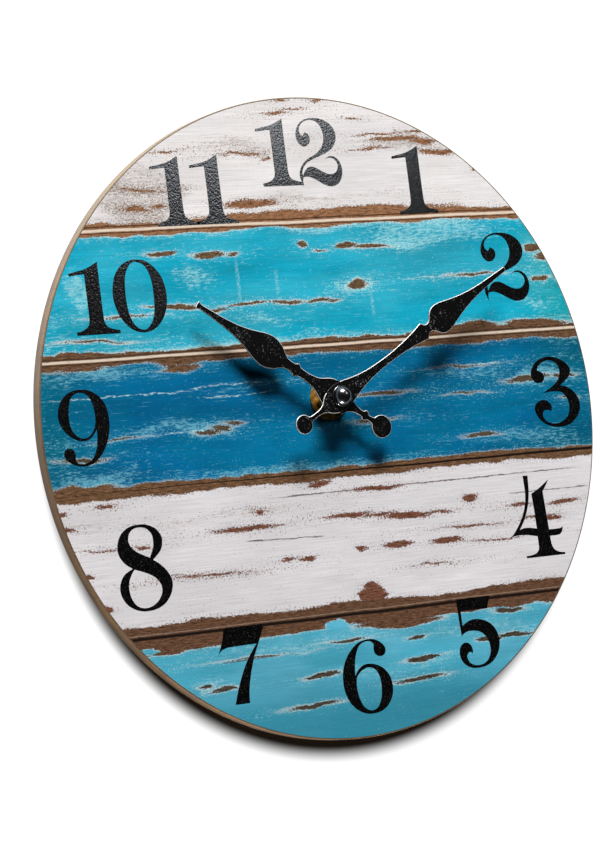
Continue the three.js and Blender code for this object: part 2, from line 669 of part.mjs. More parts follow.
const arbor = (at, [z0, z1]) => disc(ARBOR_R_SMALL, [z0, z1], at, 10);
piece(
  "third_wheel",
  join(
    prism(gear(THIRD_TEETH, FOURTH_MODULE, THIRD_PHASE), THIRD_Z, THIRD),
    prism(gear(THIRD_PINION, THIRD_MODULE, 0), [THIRD_Z[1] - 0.1, CENTRE_Z[1] + 0.2], THIRD),
    arbor(THIRD, [PIVOT_REAR, PIVOT_FRONT]),
  ),
  0xd7d2c0,
  0.5,
);
piece(
  "fourth_wheel",
  join(
    prism(gear(FOURTH_TEETH, FIFTH_MODULE, FOURTH_PHASE), FOURTH_Z),
    prism(gear(FOURTH_PINION, FOURTH_MODULE, 0), [FOURTH_Z[1] - 0.1, THIRD_Z[1] + 0.1]),
    arbor(CENTRE, [PIVOT_REAR, blindTop - 0.2]),
  ),
  0xe0ddd0,
  0.5,
);
piece(
  "fifth_wheel",
  join(
    prism(gear(FIFTH_TEETH, ROTOR_MODULE, FIFTH_PHASE), FIFTH_Z, FIFTH),
    prism(gear(FIFTH_PINION, FIFTH_MODULE, 0), [FIFTH_Z[1] - 0.1, FOURTH_Z[1] + 0.2], FIFTH),
    arbor(FIFTH, [PIVOT_REAR, PIVOT_FRONT]),
  ),
  0xd7d2c0,
  0.5,
);

// The stepping motor: rotor, magnet, stator, core, bobbin and winding.
const MAGNET_R = 2.4;
const MAGNET_Z = [STATOR_Z[0] - 0.6, STATOR_Z[1] + 0.6];
piece(
  "rotor",
  join(
    prism(gear(ROTOR_TEETH, ROTOR_MODULE, 0), wide(FIFTH_Z, 0.15), ROTOR),
    disc(1.2, [FIFTH_Z[1], MAGNET_Z[0] - SEAT], ROTOR, 16),
    arbor(ROTOR, [PIVOT_REAR, PIVOT_FRONT]),
  ),
  0xd7d2c0,
  0.5,
);
piece("rotor_magnet", ring(ARBOR_R_SMALL + PRESS, MAGNET_R, MAGNET_Z, ROTOR, 20), 0x4a4a4e, 0.5, 0.7);

const LEG_LEFT = [1.5, 5.5];
const LEG_RIGHT = [20.4, 24.4];
const LEG_TOP = 25.2;
const statorShape = polygon([
  [LEG_LEFT[0], LEG_TOP],
  [LEG_LEFT[0], 13.6],
  [9.2, 12.4],
  [10.8, 8.4],
  [17.8, 7.8],
  [LEG_RIGHT[1], 12.2],
  [LEG_RIGHT[1], LEG_TOP],
  [LEG_RIGHT[0], LEG_TOP],
  [LEG_RIGHT[0], 16.8],
  [LEG_LEFT[1], 16.8],
  [LEG_LEFT[1], LEG_TOP],
]);
piece("stator", cut(prism(statorShape, STATOR_Z), disc(MAGNET_R + 0.5, wide(STATOR_Z, 1), ROTOR)), STEEL, 0.45, 0.9);

const CORE_T = 0.8;
const CORE_Y = [20, 24];
const coreZ = [STATOR_Z[1] + SEAT, STATOR_Z[1] + SEAT + CORE_T];
const coilMiddle = [(CORE_Y[0] + CORE_Y[1]) / 2, (coreZ[0] + coreZ[1]) / 2];
const around = (middle, by) => [middle - by, middle + by];
const coilX = [LEG_LEFT[1] + 0.6, LEG_RIGHT[0] - 0.6];
const FLANGE_T = 1.0;
piece("coil_core", block([LEG_LEFT[0], LEG_RIGHT[1]], CORE_Y, coreZ), STEEL, 0.45, 0.9);
const bobbinFlange = (x) => block([x, x + FLANGE_T], around(coilMiddle[0], 4.1), around(coilMiddle[1], 3.6));
piece(
  "coil_bobbin",
  cut(
    join(
      block(coilX, around(coilMiddle[0], 2.9), around(coilMiddle[1], 1.3)),
      bobbinFlange(coilX[0]),
      bobbinFlange(coilX[1] - FLANGE_T),
    ),
    block([coilX[0] - 1, coilX[1] + 1], wide(CORE_Y, 0.1), wide(coreZ, 0.1)),
  ),
  WHITE_PLASTIC,
  0.6,
);
const windingX = [coilX[0] + FLANGE_T + 0.1, coilX[1] - FLANGE_T - 0.1];
piece(
  "coil_winding",
  cut(
    block(windingX, around(coilMiddle[0], 3.8), around(coilMiddle[1], 3.3)),
    block(wide(windingX, 1), around(coilMiddle[0], 3.0), around(coilMiddle[1], 1.4)),
  ),
  0xb4622e,
  0.35,
  0.8,
);

// The motion work: the wheel beside the axis, the hour wheel with its tube, and the knob that sets the hands.
piece(
  "motion_wheel",
  cut(
    join(
      prism(gear(MOTION_TEETH, CANNON_MODULE, MOTION_PHASE), MOTION_Z, MOTION),
      prism(gear(MOTION_PINION, HOUR_MODULE, 0), [MOTION_Z[1] - 0.1, HOUR_Z[1] - 0.1], MOTION),
    ),
    disc(MOTION_POST_R + RUN, [MOTION_Z[0] - 1, HOUR_Z[1] + 1], MOTION, 16),
  ),
  0xe0ddd0,
  0.5,
);
piece(
  "hour_wheel",
  cut(
    join(
      prism(gear(HOUR_TEETH, HOUR_MODULE, HOUR_PHASE), HOUR_Z),
      disc(HOUR_TUBE_R, [HOUR_Z[0], HOUR_TUBE_END_Z]),
    ),
    disc(HOUR_TUBE_BORE_R, [HOUR_Z[0] - 1, HOUR_TUBE_END_Z + 1]),
  ),
  BRASS,
  0.4,
  0.9,
);

const knobRibs = 20;
const knobShape = polygon(
  Array.from({ length: 2 * knobRibs }, (_, i) => polar(CENTRE, KNOB_R - (i % 2) * 0.35, (180 / knobRibs) * i)),
);
piece(
  "setting_knob",
  cut(
    join(
      prism(knobShape, [0.3, REAR_PLATE_Z[0] - 0.2], SETTING),
      disc(KNOB_SHAFT_R, [REAR_PLATE_Z[0] - 0.3, WALL_IN - 0.2], SETTING, 16),
    ),
    block([SETTING[0] - 3.4, SETTING[0] + 3.4], [SETTING[1] - 0.5, SETTING[1] + 0.5], [-1, 1.0]),
  ),
  CASE_BLACK,
  0.5,
);
piece(
  "setting_pinion",
  cut(
    prism(gear(SETTING_TEETH, CANNON_MODULE, SETTING_PHASE), wide(MOTION_Z, 0.1), SETTING),
    disc(KNOB_SHAFT_R + PRESS, wide(MOTION_Z, 1), SETTING, 16),
  ),
  0xe0ddd0,
  0.5,
);

// The electronics: the board with its chip under resin, and the crystal's can.
const pcbX = [-25, 0.6];
const pcbY = [18.4, 26];
piece(
  "circuit_board",
  cut(block(pcbX, pcbY, PCB_Z), ...BOARD_PEGS.map((at) => disc(0.75, wide(PCB_Z, 1), at, 16))),
  0x2f6b3c,
  0.5,
);
const chipFace = PCB_Z[0] - SEAT;
piece(
  "chip_resin",
  turned(
    [
      [0, chipFace - 1.0],
      [1.2, chipFace - 0.9],
      [2.1, chipFace - 0.55],
      [2.6, chipFace],
      [0, chipFace],
    ],
    [-8.5, 22.2],
    20,
  ),
  BLACK,
  0.35,
);
const CRYSTAL_R = 1;
const CRYSTAL_LENGTH = 6;
const crystal = new THREE.CylinderGeometry(CRYSTAL_R, CRYSTAL_R, CRYSTAL_LENGTH, 16)
  .rotateZ(Math.PI / 2)
  .translate(-15.4, 22.2, chipFace - CRYSTAL_R);
piece("quartz_crystal", solid(crystal), STEEL, 0.25, 1);

// The battery lies across the bay, with its button to the right.
const batteryEnd = BATTERY_LENGTH / 2;
const batteryProfile = [
  [0, -batteryEnd],
  [BATTERY_R - 0.6, -batteryEnd],
  [BATTERY_R, -batteryEnd + 0.6],
  [BATTERY_R, batteryEnd - BATTERY_BUTTON - 0.6],
  [BATTERY_R - 0.6, batteryEnd - BATTERY_BUTTON],
  [BATTERY_BUTTON_R, batteryEnd - BATTERY_BUTTON],
  [BATTERY_BUTTON_R, batteryEnd - 0.3],
  [BATTERY_BUTTON_R - 0.3, batteryEnd],
  [0, batteryEnd],
].map(([r, z]) => new THREE.Vector2(r, z));
const batteryForm = new THREE.LatheGeometry(batteryProfile, 28)
  .rotateX(Math.PI / 2)
  .applyMatrix4(ALONG_X)
  .translate(0, BATTERY_Y, BATTERY_Z);
piece("battery", solid(batteryForm), 0x3c6f9c, 0.35, 0.3);

// The contact strips stand at the ends of the bay, and a tab of each passes into the train's side.
const contactY = [bay[0] + CASE_CORNER - CASE_WALL, bay[1] - 0.3];
const tabY = [bay[1] - 1, BAY_WALL_Y + 2.6];
const contactX = [INNER - 0.15 - CONTACT_T, INNER - 0.15];
const dimple = new THREE.CylinderGeometry(1.7, 2.0, contactX[0] + 0.1 - batteryEnd - BATTERY_GAP, 20)
  .rotateZ(Math.PI / 2)
  .translate((contactX[0] + 0.1 + batteryEnd + BATTERY_GAP) / 2, BATTERY_Y, BATTERY_Z);
piece(
  "contact_positive",
  join(block(contactX, contactY, CONTACT_Z), block(contactX, tabY, TAB_Z), solid(dimple)),
  STEEL,
  0.3,
  1,
);
const leafTop = -batteryEnd - BATTERY_GAP;
const leafBase = -contactX[0] - 0.1;
const leafOuter = [];
const leafInner = [];
for (let i = 0; i <= 10; i++) {
  const along = contactY[0] + 1 + ((contactY[1] - contactY[0] - 2) * i) / 10;
  const bow = Math.sin((i / 10) * Math.PI);
  leafOuter.push([leafBase + (leafTop - leafBase) * bow, along]);
  leafInner.push([leafBase - 0.35 + (leafTop - leafBase) * bow, along]);
}
const leafShape = polygon([...leafInner, ...leafOuter.reverse()].reverse());
const leafZ = [BATTERY_Z - 2.5, BATTERY_Z + 2.5];
piece(
  "contact_negative",
  join(
    block(mirrored(contactX), contactY, CONTACT_Z),
    block(mirrored(contactX), tabY, TAB_Z),
    prism(leafShape, leafZ),
  ),
  STEEL,
  0.3,
  1,
);

export default part;
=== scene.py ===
# %% [markdown]
# # A weathered wall clock, dressed around its CAD frame
# The clock is a round printed board with two spade hands and a battery movement behind it.
# The CAD frame already holds every solid piece in its real place, in metres, and says what turns.
# This lesson dresses that frame: it paints the board, lays on the numerals, bevels the hands and
# softens the moulded pieces, so that every shape still sits where the frame put it.

# %% Load the frame
import math

import bmesh
import bpy
from mathutils import Euler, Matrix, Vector
from mathutils.geometry import delaunay_2d_cdt


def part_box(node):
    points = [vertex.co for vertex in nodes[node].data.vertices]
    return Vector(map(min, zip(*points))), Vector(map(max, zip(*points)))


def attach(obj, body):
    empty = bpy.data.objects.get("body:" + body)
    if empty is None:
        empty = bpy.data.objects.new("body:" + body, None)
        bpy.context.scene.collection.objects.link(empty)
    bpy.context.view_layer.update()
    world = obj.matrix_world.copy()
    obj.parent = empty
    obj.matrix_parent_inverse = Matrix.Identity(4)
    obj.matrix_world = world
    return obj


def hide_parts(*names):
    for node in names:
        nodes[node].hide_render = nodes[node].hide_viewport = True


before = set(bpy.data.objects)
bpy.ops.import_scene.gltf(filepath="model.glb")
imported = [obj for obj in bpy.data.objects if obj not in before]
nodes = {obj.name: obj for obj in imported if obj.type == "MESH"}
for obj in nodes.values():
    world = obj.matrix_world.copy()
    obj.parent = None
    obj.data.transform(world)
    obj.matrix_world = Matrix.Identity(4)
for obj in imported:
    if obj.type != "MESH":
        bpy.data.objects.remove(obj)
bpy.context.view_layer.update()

scene = bpy.context.scene
scene.view_settings.view_transform = "Standard"

# %% [markdown]
# ## Where things are
# The frame gives a box for each piece, so the lesson asks it for the dial's plane and the board's middle
# and never types them again. Shapes are drawn in millimetres from the board's middle: x to the right,
# z up towards twelve, and a height that stands off the dial towards the viewer.

# %% Places taken from the frame
MM = 0.001
board_low, board_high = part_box("dial_board")
dial_y = board_low.y
board_back = (board_high.y - board_low.y) / MM
board_radius = (board_high.x - board_low.x) / 2 / MM
middle_x = (board_high.x + board_low.x) / 2 / MM
middle_z = (board_high.z + board_low.z) / 2 / MM
spindle = (-middle_x, -middle_z)


def spot(x, z, height=0.0):
    """A point of the clock, from millimetres off the board's middle to metres in the frame."""
    return Vector(((x + middle_x) * MM, dial_y - height * MM, (z + middle_z) * MM))


def heights(node):
    """How far the back and the front of a piece stand off the dial, in millimetres."""
    low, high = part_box(node)
    return (dial_y - high.y) / MM, (dial_y - low.y) / MM


print("board radius", round(board_radius, 2), "mm, hands turn", round(spindle[1], 2), "mm above its middle")

# %% [markdown]
# ## The camera
# The photograph was taken with a long lens from the left and a little below the middle of the dial.
# Its place was worked out from the ellipse that the round board makes in the picture, so no shift is needed.

# %% Camera
CAMERA_PLACE = (-0.67315, -1.10337, -0.08406)
CAMERA_TURN = (93.3817, 6.8893, -30.9821)
CAMERA_LENS = 136.85

lens = bpy.data.cameras.new("camera")
lens.lens = CAMERA_LENS
lens.sensor_fit = "VERTICAL"
lens.sensor_height = 36
camera = bpy.data.objects.new("camera", lens)
camera.location = CAMERA_PLACE
camera.rotation_euler = Euler([math.radians(turn) for turn in CAMERA_TURN])
scene.collection.objects.link(camera)
scene.camera = camera
print("camera is", round(camera.location.length, 3), "m from the hands' axis")

# %% [markdown]
# ## Writing sums on sockets
# A material is a chain of nodes, and a long chain is hard to read when every sum is a node of its own.
# This small class wraps one socket and lets Python's signs make the Math nodes, so `1 - mask` is a node too.
# Colours are mixed with Mix and places are moved with Vector Math, because Math would turn them grey.

# %% The socket class and the finish it belongs to
class Wire:
    """One socket of a finish, on which sums are written as in Python."""

    def __init__(self, finish, socket):
        self.finish = finish
        self.socket = socket

    def sum(self, operation, first, second=None):
        given = [value for value in (first, second) if value is not None]
        kinds = [value.socket.type if isinstance(value, Wire) else type(value).__name__ for value in given]
        vector = any(kind in ("VECTOR", "RGBA", "tuple") for kind in kinds)
        kind = "ShaderNodeVectorMath" if vector else "ShaderNodeMath"
        return self.finish.node(kind, {"operation": operation}, dict(enumerate(given)))

    def __add__(self, other):
        return self.sum("ADD", self, other)

    def __radd__(self, other):
        return self.sum("ADD", other, self)

    def __sub__(self, other):
        return self.sum("SUBTRACT", self, other)

    def __rsub__(self, other):
        return self.sum("SUBTRACT", other, self)

    def __mul__(self, other):
        return self.sum("MULTIPLY", self, other)

    def __rmul__(self, other):
        return self.sum("MULTIPLY", other, self)

    def __abs__(self):
        return self.sum("ABSOLUTE", self)

    def least(self, other):
        return self.sum("MINIMUM", self, other)

    def most(self, other):
        return self.sum("MAXIMUM", self, other)

    def length(self):
        return self.finish.node("ShaderNodeVectorMath", {"operation": "LENGTH"}, {0: self}, "Value")

    def part(self, axis):
        return self.finish.node("ShaderNodeSeparateXYZ", {}, {0: self}, axis)

    def ease(self, start, end):
        """0 before start and 1 past end, with a soft step between them."""
        sockets = {"Value": self, "From Min": start, "From Max": end}
        return self.finish.node("ShaderNodeMapRange", {"interpolation_type": "SMOOTHSTEP"}, sockets)

    def stretch(self, low, high):
        """A value from 0 to 1, spread from low to high."""
        sockets = {"Value": self, "To Min": low, "To Max": high}
        return self.finish.node("ShaderNodeMapRange", {}, sockets)


class Finish:
    """A material with one principled surface, and the method that adds any node to it."""

    def __init__(self, name, **constants):
        self.material = bpy.data.materials.new(name)
        self.material.use_nodes = True
        self.tree = self.material.node_tree
        self.surface = self.tree.nodes["Principled BSDF"]
        for socket, value in constants.items():
            self.surface.inputs[socket.replace("_", " ")].default_value = value

    def node(self, kind, settings, sockets, output=0):
        made = self.tree.nodes.new(kind)
        for setting, value in settings.items():
            if setting == "stops":
                ramp = made.color_ramp.elements
                for place, colour in value[len(ramp):]:
                    ramp.new(place)
                for stop, (place, colour) in zip(ramp, value):
                    stop.position = place
                    stop.color = colour
            elif setting == "blend":
                made.color_ramp.interpolation = value
            else:
                setattr(made, setting, value)
        for key, value in sockets.items():
            if isinstance(value, Wire):
                self.tree.links.new(value.socket, made.inputs[key])
            else:
                made.inputs[key].default_value = value
        return Wire(self, made.outputs[output])

    def feed(self, **wires):
        for socket, wire in wires.items():
            self.tree.links.new(wire.socket, self.surface.inputs[socket.replace("_", " ")])
        return self.material

    def place(self):
        """Where a point is on the piece, in millimetres from the board's middle."""
        here = self.node("ShaderNodeTexCoord", {}, {}, "Object")
        return here * (1 / MM, 1 / MM, 1 / MM) - (middle_x, 0.0, middle_z)

    def noise(self, place, detail=2.0, rough=0.5, output=0):
        sockets = {"Vector": place, "Scale": 1.0, "Detail": detail, "Roughness": rough}
        return self.node("ShaderNodeTexNoise", {}, sockets, output)

    def mix(self, factor, first, second, blend="MIX"):
        settings = {"data_type": "RGBA", "blend_type": blend}
        return self.node("ShaderNodeMix", settings, {0: factor, 6: first, 7: second}, 2)

    def bump(self, height, depth):
        """A bump of that depth, in metres, from a height between 0 and 1."""
        return self.node("ShaderNodeBump", {}, {"Strength": 1.0, "Distance": depth, "Height": height})


def paint(red, green, blue):
    """A colour as it looks on a screen, from 0 to 255, as the light that it stands for."""
    def light(value):
        share = value / 255
        return share / 12.92 if share <= 0.04045 else ((share + 0.055) / 1.055) ** 2.4

    return light(red), light(green), light(blue), 1.0


print("half grey on a screen is", round(paint(128, 128, 128)[0], 3), "of full light")

# %% [markdown]
# ## The wall and the light
# The clock hangs on a white wall. The wall here is a panel with a round opening for the movement, so that
# the board lies close to it and throws a real shadow under its rim. The narrow dark shadow that the
# photograph
# shows there is mostly a painted shadow: the panel glows white beyond it and not at all inside it, so the
# lamps can stay at a plain level. The panel shows only to the eye in front of it and lets lamps behind it
# shine through.
# One wide lamp stands high up, a little to the left, since the shadows fall almost straight down.
# A small weak one in front gives the sheen on the numerals near twelve. A narrow one below, just behind the
# plane of the board, lights only the cut edge, and one at the back shows the movement.

# %% Wall, world and lamps
WALL_GAP = 0.35
WALL_OPENING = 90
WALL_REACH = 2600
WALL_STEPS = 96
WALL_GREY = paint(95, 95, 95)
# Middle of the painted shadow off the board's middle, and where it starts and stops fading inside the rim's
# size.
SHADOW_PLACE = (-1.2, 0.0, -9.8)
SHADOW_CORE = 7.7
SHADOW_FADE = 0.2
KEY_WAY = Vector((-0.15, -1.0, 1.75))
KEY_DISTANCE = 5.0
KEY_SIZE = 2.3
KEY_TALL = 1.3
KEY_POWER = 465
SHEEN_WAY = Vector((0.455, -0.814, 0.34))
SHEEN_DISTANCE = 1.0
SHEEN_SIZE = 0.18
SHEEN_POWER = 0.78
SHEEN_COLOUR = (0.90, 0.94, 1.0)
RIM_WAY = Vector((-0.15, 0.022, -1.0))
RIM_SIZE = 0.012
RIM_WIDE = 0.12
RIM_DISTANCE = 1.0
RIM_POWER = 9.0
BACK_WAY = Vector((-0.6, 1.0, 1.0))
BACK_DISTANCE = 1.8
BACK_SIZE = 1.2
BACK_POWER = 40
SKY_LEVEL = 0.018


def wall_panel():
    back = -board_back - WALL_GAP
    points, faces = [], []
    for step in range(WALL_STEPS):
        turn = 2 * math.pi * step / WALL_STEPS
        for radius in (WALL_OPENING, WALL_REACH):
            points.append(spot(radius * math.cos(turn), radius * math.sin(turn), back))
        after = (step + 1) % WALL_STEPS
        faces.append((2 * step, 2 * step + 1, 2 * after + 1, 2 * after))
    mesh = bpy.data.meshes.new("wall")
    mesh.from_pydata(points, [], faces)
    panel = bpy.data.objects.new("wall", mesh)
    scene.collection.objects.link(panel)
    return panel


def wall_finish():
    finish = Finish("white_wall_painted_shadow", Base_Color=WALL_GREY, Roughness=0.9, Emission_Strength=1.0)
    # Painted shadow: the glow is dark inside a disc set a little below the board's middle and white outside
    # it.
    painted_shadow_distance = (finish.place() * (1.0, 0.0, 1.0) - SHADOW_PLACE).length()
    finish.feed(Emission_Color=painted_shadow_distance.ease(board_radius - SHADOW_CORE, board_radius - SHADOW_FADE))
    seen = finish.node("ShaderNodeLightPath", {}, {}, "Is Camera Ray")
    for other in ("Is Glossy Ray", "Is Transmission Ray"):
        seen = seen.most(finish.node("ShaderNodeLightPath", {}, {}, other))
    behind = finish.node("ShaderNodeNewGeometry", {}, {}, "Backfacing")
    clear = finish.node("ShaderNodeBsdfTransparent", {}, {})
    solid = Wire(finish, finish.surface.outputs[0])
    shown = finish.node("ShaderNodeMixShader", {}, {0: seen * (1 - behind), 1: clear, 2: solid})
    finish.tree.links.new(shown.socket, finish.tree.nodes["Material Output"].inputs["Surface"])
    return finish.material


def lamp(name, way, distance, size, tall, power, colour=(1.0, 1.0, 1.0)):
    light = bpy.data.lights.new(name, "AREA")
    light.energy = power
    light.shape = "RECTANGLE"
    light.size = size
    light.size_y = tall
    light.color = colour
    made = bpy.data.objects.new(name, light)
    made.location = way.normalized() * distance
    made.rotation_euler = way.to_track_quat("Z", "Y").to_euler()
    scene.collection.objects.link(made)
    return made


wall = wall_panel()
wall.data.materials.append(wall_finish())
lamp("key_lamp", KEY_WAY, KEY_DISTANCE, KEY_SIZE, KEY_TALL, KEY_POWER)
lamp("sheen_lamp", SHEEN_WAY, SHEEN_DISTANCE, SHEEN_SIZE, SHEEN_SIZE, SHEEN_POWER, SHEEN_COLOUR)
lamp("rim_lamp", RIM_WAY, RIM_DISTANCE, RIM_SIZE, RIM_WIDE, RIM_POWER)
lamp("back_lamp", BACK_WAY, BACK_DISTANCE, BACK_SIZE, BACK_SIZE, BACK_POWER)

world = bpy.data.worlds.new("studio")
world.use_nodes = True
scene.world = world
sky = world.node_tree.nodes["Background"]
sky.inputs["Color"].default_value = (1, 1, 1, 1)
ray = world.node_tree.nodes.new("ShaderNodeLightPath")
level = world.node_tree.nodes.new("ShaderNodeMapRange")
level.inputs["To Min"].default_value = SKY_LEVEL
level.inputs["To Max"].default_value = 1.0
world.node_tree.links.new(ray.outputs["Is Camera Ray"], level.inputs["Value"])
world.node_tree.links.new(level.outputs["Result"], sky.inputs["Strength"])
print("wall, four lamps and a plain sky are set")

# %% [markdown]
# ## Shapes from outlines
# Numerals, hands and the board's faces are flat outlines with some thickness. An outline is a list of runs:
# each run is a smooth curve through its points, and two runs meet in a sharp corner.
# Blender's triangulation fills the outline and leaves its holes open. The walls follow the fill's border.

# %% Outline helpers
CURVE_STEPS = 6


def bent_through(line, steps):
    """Points on a smooth curve through a line of points, from its second to just before its last but one."""
    curve = []
    for a, b, c, d in zip(line, line[1:], line[2:], line[3:]):
        for step in range(steps):
            t = step / steps
            bend = (2 * a - 5 * b + 4 * c - d) * t * t + (3 * b - a - 3 * c + d) * t ** 3
            curve.append(b + ((c - a) * t + bend) / 2)
    return curve


def smooth_run(points, steps=CURVE_STEPS):
    """Points on a smooth curve through the given ones, without the last."""
    if len(points) == 2:
        return [Vector(points[0])]
    before = 2 * Vector(points[0]) - Vector(points[1])
    after = 2 * Vector(points[-1]) - Vector(points[-2])
    return bent_through([before, *map(Vector, points), after], steps)


def outline(*runs):
    """A closed outline: each run starts where the one before it ends."""
    loop = []
    start = runs[-1][-1]
    for run in runs:
        loop += smooth_run([start, *run])
        start = run[-1]
    return loop


def round_outline(points):
    """A closed outline with no corner."""
    ring = [Vector(point) for point in (points[-1], *points, points[0], points[1])]
    return bent_through(ring, CURVE_STEPS)


def circle(radius, centre=(0.0, 0.0), steps=64):
    turns = [2 * math.pi * step / steps for step in range(steps)]
    return [Vector((centre[0] + radius * math.cos(t), centre[1] + radius * math.sin(t))) for t in turns]


def fill(loops):
    """Triangles inside the first loop and outside the others."""
    points, faces = [], []
    for loop in loops:
        area = sum(a.x * b.y - b.x * a.y for a, b in zip(loop, loop[1:] + loop[:1]))
        faces.append(list(range(len(points), len(points) + len(loop))))
        points += loop if area > 0 else loop[::-1]
    found = delaunay_2d_cdt(points, [], faces, 0, 1e-5, True)
    kept = [face for face, inside in zip(found[2], found[5]) if 0 in inside and len(set(inside)) == 1]
    return found[0], kept


def piece(name, points, faces, finishes, picks=None, sharp=35):
    """A named mesh with its finishes, smooth where its faces meet gently."""
    mesh = bpy.data.meshes.new(name)
    mesh.from_pydata([tuple(point) for point in points], [], faces)
    for finish in finishes:
        mesh.materials.append(finish)
    if picks:
        mesh.polygons.foreach_set("material_index", picks)
    tidy = bmesh.new()
    tidy.from_mesh(mesh)
    bmesh.ops.remove_doubles(tidy, verts=tidy.verts, dist=1e-6)
    bmesh.ops.recalc_face_normals(tidy, faces=tidy.faces)
    tidy.to_mesh(mesh)
    tidy.free()
    mesh.polygons.foreach_set("use_smooth", [True] * len(mesh.polygons))
    mesh.set_sharp_from_angle(angle=math.radians(sharp))
    made = bpy.data.objects.new(name, mesh)
    scene.collection.objects.link(made)
    return made


def slab(loops, back, front):
    """Points and faces of a flat solid between two heights, with its loops as walls."""
    flat, top = fill(loops)
    count = len(flat)
    points = [spot(*p, front) for p in flat] + [spot(*p, back) for p in flat]
    faces = [tuple(face) for face in top] + [tuple(count + i for i in reversed(face)) for face in top]
    edges = {}
    for face in top:
        for a, b in zip(face, face[1:] + face[:1]):
            edges[frozenset((a, b))] = None if frozenset((a, b)) in edges else (a, b)
    faces += [(b, a, count + a, count + b) for a, b in filter(None, edges.values())]
    return points, faces


def turned(profile, centre=(0.0, 0.0), steps=96):
    """A closed profile of (radius, height) points turned about an axis that stands on the dial."""
    points, faces = [], []
    for step in range(steps):
        turn = 2 * math.pi * step / steps
        for radius, height in profile:
            x = centre[0] + radius * math.cos(turn)
            z = centre[1] + radius * math.sin(turn)
            points.append(spot(x, z, height))
    count = len(profile)
    for step in range(steps):
        after = (step + 1) % steps
        for i in range(count):
            j = (i + 1) % count
            if profile[i][0] == 0 and profile[j][0] == 0:
                continue
            corners = [step * count + i, step * count + j, after * count + j, after * count + i]
            if profile[i][0] == 0:
                corners = corners[:3]
            elif profile[j][0] == 0:
                corners = [corners[0], corners[1], corners[3]]
            faces.append(tuple(corners))
    return points, faces


print("a circle of 64 steps fills with", len(fill([circle(10), circle(4)])[1]), "triangles around a hole")

# %% [markdown]
# ## The printed planks
# The dial is one flat board printed to look like five old planks: white, turquoise, deep blue, white and
# light turquoise. Bare wood shows along the ragged plank edges and in long chips, each with a pale rim of
# primer, and dry brush marks run along the grain. The print is worked out from the place on the board:
# a height picks the plank, and the distance to the nearest chip says paint, primer or wood.

# %% Plank edges, grooves and chips, in millimetres from the board's middle
SEAMS = (77.6, 27.6, -22.7, -78.9)
BARE_EDGES = ((80.3, 75.3), (30.4, 24.8), (-19.9, -24.6), (-73.9, -83.0))
# Each groove is its height, half its width, how that grows towards the right, and its strength.
PALE_GROOVES = ((77.3, 0.7, 0.0, 1.0), (28.0, 0.65, 0.0, 0.95), (-77.3, 0.25, 0.0, 0.2))
DARK_GROOVES = ((78.7, 0.3, 0.0, 0.8), (76.2, 0.3, 0.0, 0.7), (29.1, 0.25, 0.0, 0.7), (26.9, 0.25, 0.0, 0.7),
                (-22.2, 0.4, 0.002, 1.0), (-78.6, 0.85, 0.0, 1.0))

